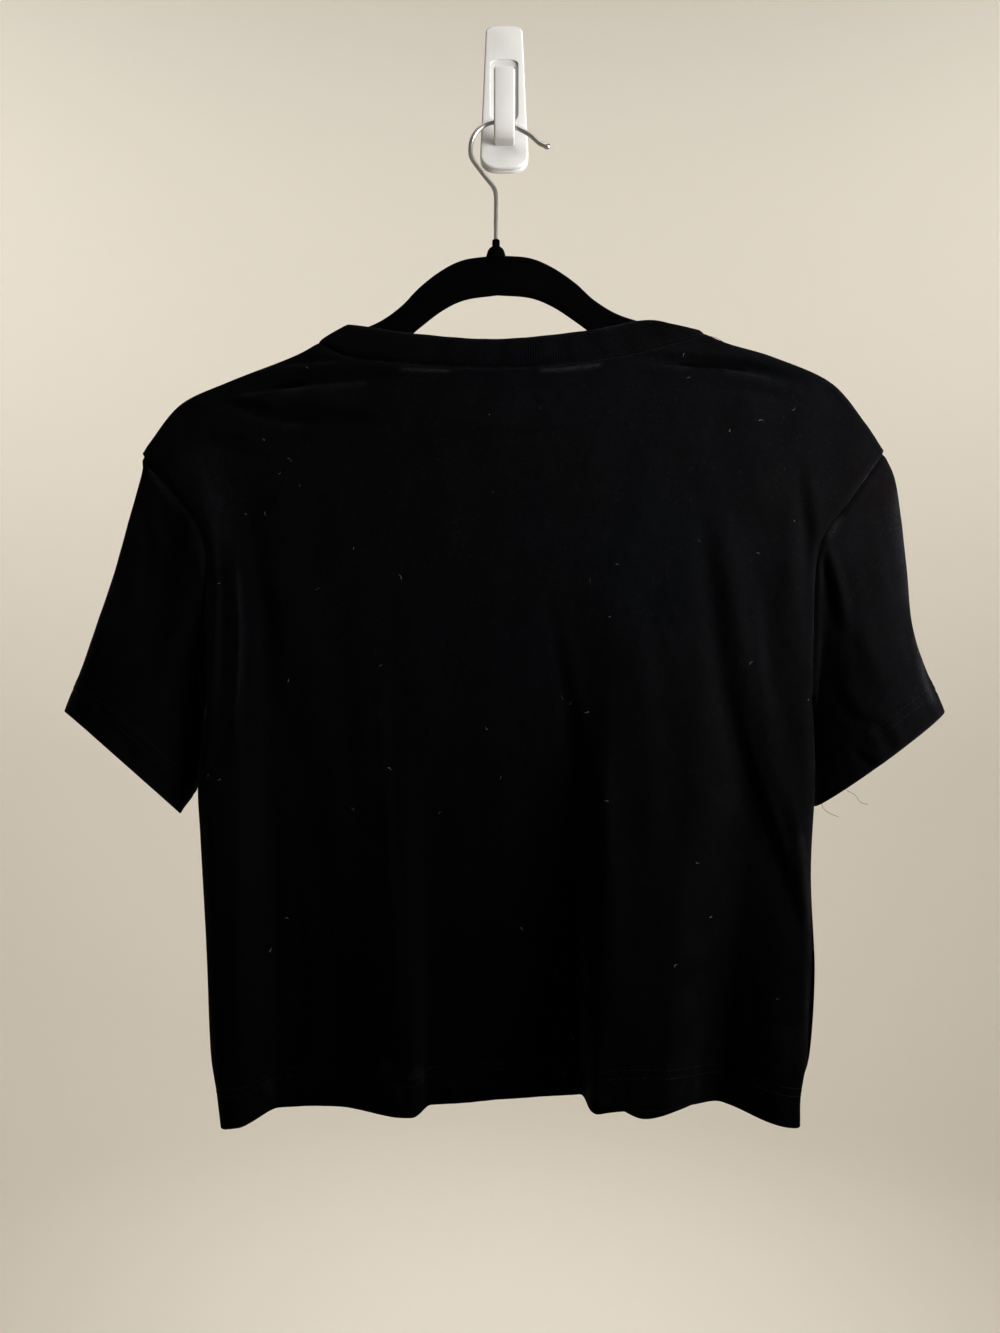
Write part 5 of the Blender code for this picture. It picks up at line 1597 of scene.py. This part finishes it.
def flat_outline(name, points, thickness, bevel, material, place, turn, resolution=4):
    """A plate of an outline in its own XY plane, with rounded edges, turned and placed."""
    source = curve_object(name, [[(x, z, 0) for x, z in points]], dimensions="2D",
                          fill_mode="BOTH", extrude=thickness / 2 - bevel, bevel_depth=bevel,
                          bevel_resolution=resolution, offset=-bevel)
    source.data.splines[0].use_cyclic_u = True
    source.location = place
    source.rotation_euler = turn
    return evaluated_mesh(source, name, material)


def boolean(thing, other, operation):
    """Join or cut with a helper object, which is then removed; returns the new piece."""
    modifier = thing.modifiers.new(operation.title(), "BOOLEAN")
    modifier.operation = operation
    modifier.object = other
    modifier.solver = "EXACT"
    name, material = thing.name, thing.data.materials[0]
    thing.name = name + "_raw"
    made = evaluated_mesh(thing, name, material)
    bpy.data.objects.remove(other)
    return made


# %% Black flock
def make_flock():
    flock = Finish("black flock", (0.0005, 0.0005, 0.0005), 0.98, 0.005)
    flock.set("Sheen Weight", 0.003)
    flock.set("Sheen Roughness", 0.6)
    flock.set("Sheen Tint", (0.5, 0.5, 0.52))
    pile = flock.noise(1500.0, 4.0, 0.8)
    thin = flock.math("MULTIPLY", pile, flock.noise(60.0, 3.0))
    thin = flock.math("SUBTRACT", thin, 0.33, clamp=True)
    flock.set("Base Color", flock.mix(thin, (0.0004, 0.0004, 0.0005), (0.005, 0.005, 0.005)))
    flock.bump(pile, 0.00025, 0.8)
    return flock.material


FLOCK = make_flock()

# %% Hanger: half of its outline, from the arch to the tip
Arm = namedtuple("Arm", "x upper lower")
HANGER_HALF = in_metres((
    Arm(0, 0, -27.1),
    Arm(22, -2.2, -29.6),
    Arm(38, -9, -36.3),
    Arm(54, -20.5, -47.5),
    Arm(67, -33, -57.5),
    Arm(83, -43.5, -66.5),
    Arm(104, -51.2, -75),
    Arm(124, -59.2, -82),
    Arm(140, -67.4, -88.5),
    Arm(175, -81.8, -102),
    Arm(206, -93.8, -114),
))
HANGER_TILT = math.radians(1.9)
HANGER_APEX = (-0.0058, -0.1214)      # top of the arch, x and z
HANGER_THICKNESS = 0.0055
HANGER_ROUND = 0.0022
HANGER_TIP_RADIUS = 0.0101
Ring = namedtuple("Ring", "radius z")
HANGER_NECK = in_metres((             # the turned neck on top, measured from the arch's top
    Ring(2, 11.2),
    Ring(2.6, 10.8),
    Ring(2.7, 8.5),
    Ring(2.6, 6.6),
    Ring(3.4, 5.8),
    Ring(4.8, 4.8),
    Ring(5.6, 3.6),
    Ring(6.2, 1.8),
    Ring(6.8, -0.4),
    Ring(7.2, -2.5),
))
WIRE_RADIUS = 0.0016


def build_hanger():
    upper = curve_through([(row.x, row.upper) for row in HANGER_HALF], per_span=12)
    lower = curve_through([(row.x, row.lower) for row in HANGER_HALF], per_span=10)
    middle = (upper[-1] + lower[-1]) / 2
    start = math.atan2(*(upper[-1] - middle)[::-1])
    turn = np.linspace(start, start - math.pi, 25)[1:-1]
    tip = middle + HANGER_TIP_RADIUS * np.column_stack([np.cos(turn), np.sin(turn)])
    half = [tuple(point) for point in np.vstack([upper, tip, lower[::-1]])]
    outline = half + [(-x, z) for x, z in half[::-1] if x > 0]
    place = (HANGER_APEX[0], -HANGER_DEPTH, HANGER_APEX[1])
    body = flat_outline("flocked_hanger", outline, HANGER_THICKNESS, HANGER_ROUND, FLOCK,
                        place, (math.pi / 2, -HANGER_TILT, 0))
    profile = [(0.0, HANGER_NECK[0].z)] + [(ring.radius, ring.z) for ring in HANGER_NECK]
    profile.append((0.0, HANGER_NECK[-1].z))
    data = bpy.data.meshes.new("neck")
    data.from_pydata([(r, 0, z) for r, z in profile],
                     [(i, i + 1) for i in range(len(profile) - 1)], [])
    source = add_object("neck", data)
    source.location = place
    turned = source.modifiers.new("Turned", "SCREW")
    turned.steps = turned.render_steps = 40
    turned.use_merge_vertices = True
    turned.merge_threshold = 0.00001
    neck = evaluated_mesh(source, "hanger_neck", FLOCK)
    return boolean(body, neck, "UNION")


hanger = build_hanger()
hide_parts("hanger")
print("hanger", len(hanger.data.polygons), "faces")


# %% Plated wire
def make_chrome():
    wire = Finish("plated wire", (0.36, 0.357, 0.345), 0.2)
    wire.set("Metallic", 1.0)
    wire.set("Roughness", wire.math("MULTIPLY_ADD", wire.noise(260.0, 4.0), 0.22, 0.20))
    wire.bump(wire.noise(1800.0, 2.0), 0.00002, 0.4)
    return wire.material


CHROME = make_chrome()
Bend = namedtuple("Bend", "place x z")
WIRE_CENTRE = (-0.0044, -0.0470)
CROWN_RADIUS = 0.0192
WIRE_FOOT = in_metres((
    Bend("foot", -1.4, -66.8),
    Bend("stem", -1.4, -48),
    Bend("top of stem", -1.4, -33),
    Bend("turn", -3.4, -26.2),
    Bend("sweep", -10.5, -17),
))
WIRE_END = in_metres((
    Bend("down", 21.5, 10.5),
    Bend("kick", 29, 4),
    Bend("tip", 36.5, 1.2),
))
CROWN_FROM, CROWN_TO = math.radians(200), math.radians(60)
BULB = (1.0, 1.12, 1.30, 1.38, 1.36, 1.22, 0.9, 0.4)      # radii of the wire at its end


def build_wire():
    arc = [Bend("crown", CROWN_RADIUS * math.cos(angle), CROWN_RADIUS * math.sin(angle))
           for angle in np.linspace(CROWN_FROM, CROWN_TO, 8)]
    path = curve_through([(row.x, row.z) for row in WIRE_FOOT + tuple(arc) + WIRE_END],
                         per_span=24)
    path = at_fractions(path, np.linspace(0, 1, 210))
    path = [(WIRE_CENTRE[0] + x, -HANGER_DEPTH, WIRE_CENTRE[1] + z) for x, z in path]
    source = curve_object("wire", [path], dimensions="3D", bevel_depth=WIRE_RADIUS,
                          bevel_resolution=6, use_fill_caps=True)
    for knot, swell in zip(list(source.data.splines[0].points)[-len(BULB):], BULB):
        knot.radius = swell
    return evaluated_mesh(source, "wire_hook", CHROME)


wire = build_wire()
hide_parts("hanger_hook")
print("wire", len(wire.data.polygons), "faces")


# %% White plastic
def make_plastic():
    plastic = Finish("white plastic", (0.46, 0.455, 0.445), 0.42, 0.3)
    plastic.set("Subsurface Weight", 0.08)
    plastic.set("Subsurface Radius", (0.004, 0.003, 0.0025))
    plastic.set("Subsurface Scale", 1.0)
    plastic.set("Base Color", plastic.ramp(plastic.noise(35.0, 3.0), (0.3, (0.44, 0.435, 0.42)),
                                           (0.7, (0.48, 0.475, 0.465))))
    grain = plastic.noise(900.0, 3.0)
    plastic.set("Roughness", plastic.math("MULTIPLY_ADD", grain, 0.16, 0.26))
    plastic.bump(grain, 0.00003, 0.3)
    return plastic.material


WHITE = make_plastic()

# %% Wall hook: outlines, and the side view of its arm
PLATE_THICKNESS, PLATE_ROUND = 0.0045, 0.0014
RECESS_DEPTH, RECESS_ROUND = 0.0015, 0.0004
PAD_THICKNESS, PAD_ROUND = 0.0050, 0.0018
ARM_WIDTH, ARM_ROUND = 0.0145, 0.0014
CLEARANCE = 0.0003
BEARING = 0.0008           # from the arm's side to where the wire bears on its floor
Outline = namedtuple("Outline", "top_width top_z bottom_width bottom_z")
PLATE = Outline(0.0265, 0.0525, 0.0345, -0.0525)
RECESS = Outline(0.0205, 0.0280, 0.0205, -0.0170)
PAD = Outline(0.0330, -0.0195, 0.0345, -0.0525)
TOP_RISE, BOTTOM_RISE, END_SQUARENESS = 0.35, 0.55, 0.6
Side = namedtuple("Side", "place depth rise")
ARM_SIDE = in_metres((
    Side("root, above", 7.3, 1.5),
    Side("root, below", 7.3, -3),
    Side("underside", 15, -4),
    Side("lowest", 22.5, -4.4),
    Side("under the bend", 29, -1),
    Side("front of the bend", 32.5, 8),
    Side("front", 34.5, 21),
    Side("front of the tip", 35.2, 35.8),
    Side("tip", 34.5, 36.8),
    Side("top of the tip", 33, 36.8),
    Side("behind the tip", 32.2, 35.6),
    Side("back", 31.2, 20),
    Side("back of the bend", 29.6, 9),
    Side("in the bend", 26.8, 1),
    Side("floor, far end", 24.5, 0),
    Side("floor", 19, 0.2),
    Side("floor, near end", 14, 1),
))


def rounded_outline(shape, steps=28):
    """Outline of a plate whose ends are flat arcs, from its upper end round to its lower."""
    points = []
    for centre, half, rise in ((shape.top_z, shape.top_width / 2, TOP_RISE),
                               (shape.bottom_z, -shape.bottom_width / 2, BOTTOM_RISE)):
        for angle in np.linspace(0, math.pi, steps + 1):
            across = math.copysign(abs(math.cos(angle)) ** END_SQUARENESS, math.cos(angle))
            points.append((half * across, centre - half * rise * (1 - math.sin(angle))))
    return points


UPRIGHT = (math.pi / 2, 0, 0)


def build_wall_hook():
    plate = flat_outline("white_plate", rounded_outline(PLATE), PLATE_THICKNESS, PLATE_ROUND,
                         WHITE, (0, -PLATE_THICKNESS / 2, 0), UPRIGHT)
    recess = flat_outline("recess", rounded_outline(RECESS), 2 * RECESS_DEPTH, RECESS_ROUND,
                          WHITE, (0, -PLATE_THICKNESS, 0), UPRIGHT, 2)
    plate = boolean(plate, recess, "DIFFERENCE")
    pad = flat_outline("pad", rounded_outline(PAD), PAD_THICKNESS, PAD_ROUND, WHITE,
                       (0, -PLATE_THICKNESS - CLEARANCE - PAD_THICKNESS / 2, 0), UPRIGHT)
    inside = CROWN_RADIUS - WIRE_RADIUS
    aside = ARM_WIDTH / 2 - BEARING - WIRE_CENTRE[0]
    floor = WIRE_CENTRE[1] + math.sqrt(inside ** 2 - aside ** 2) - CLEARANCE
    rows = [(row.depth, floor + row.rise) for row in ARM_SIDE]
    path = curve_through(rows[1:] + [rows[0]], 6)
    arm = flat_outline("white_arm", [tuple(point) for point in path], ARM_WIDTH, ARM_ROUND,
                       WHITE, (0, 0, 0), (math.pi / 2, 0, -math.pi / 2))
    return plate, boolean(arm, pad, "UNION")


plate, arm = build_wall_hook()
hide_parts("wall_hook_plate")
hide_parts("wall_hook_arm")
print("wall hook", len(plate.data.polygons) + len(arm.data.polygons), "faces")

# %% [markdown]
# ## What each piece rides on
#
# Each piece rides on the imported body, listed under the finish that it takes. The cut sizes
# of the cloth are of what shows, without the turned-up hem and the allowances.

# %% What rides where
SLOTS = {
    "black_jersey": [back.thing, front.thing, left_sleeve.thing, right_sleeve.thing, threads]
    + list(stitches.values()) + list(lint.values()),
    "black_rib": [neckband.thing],
    "black_flock": [hanger],
    "chrome_wire": [wire],
    "white_plastic": [plate, arm],
}
for finish, pieces in SLOTS.items():
    for piece in pieces:
        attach(piece, "root")
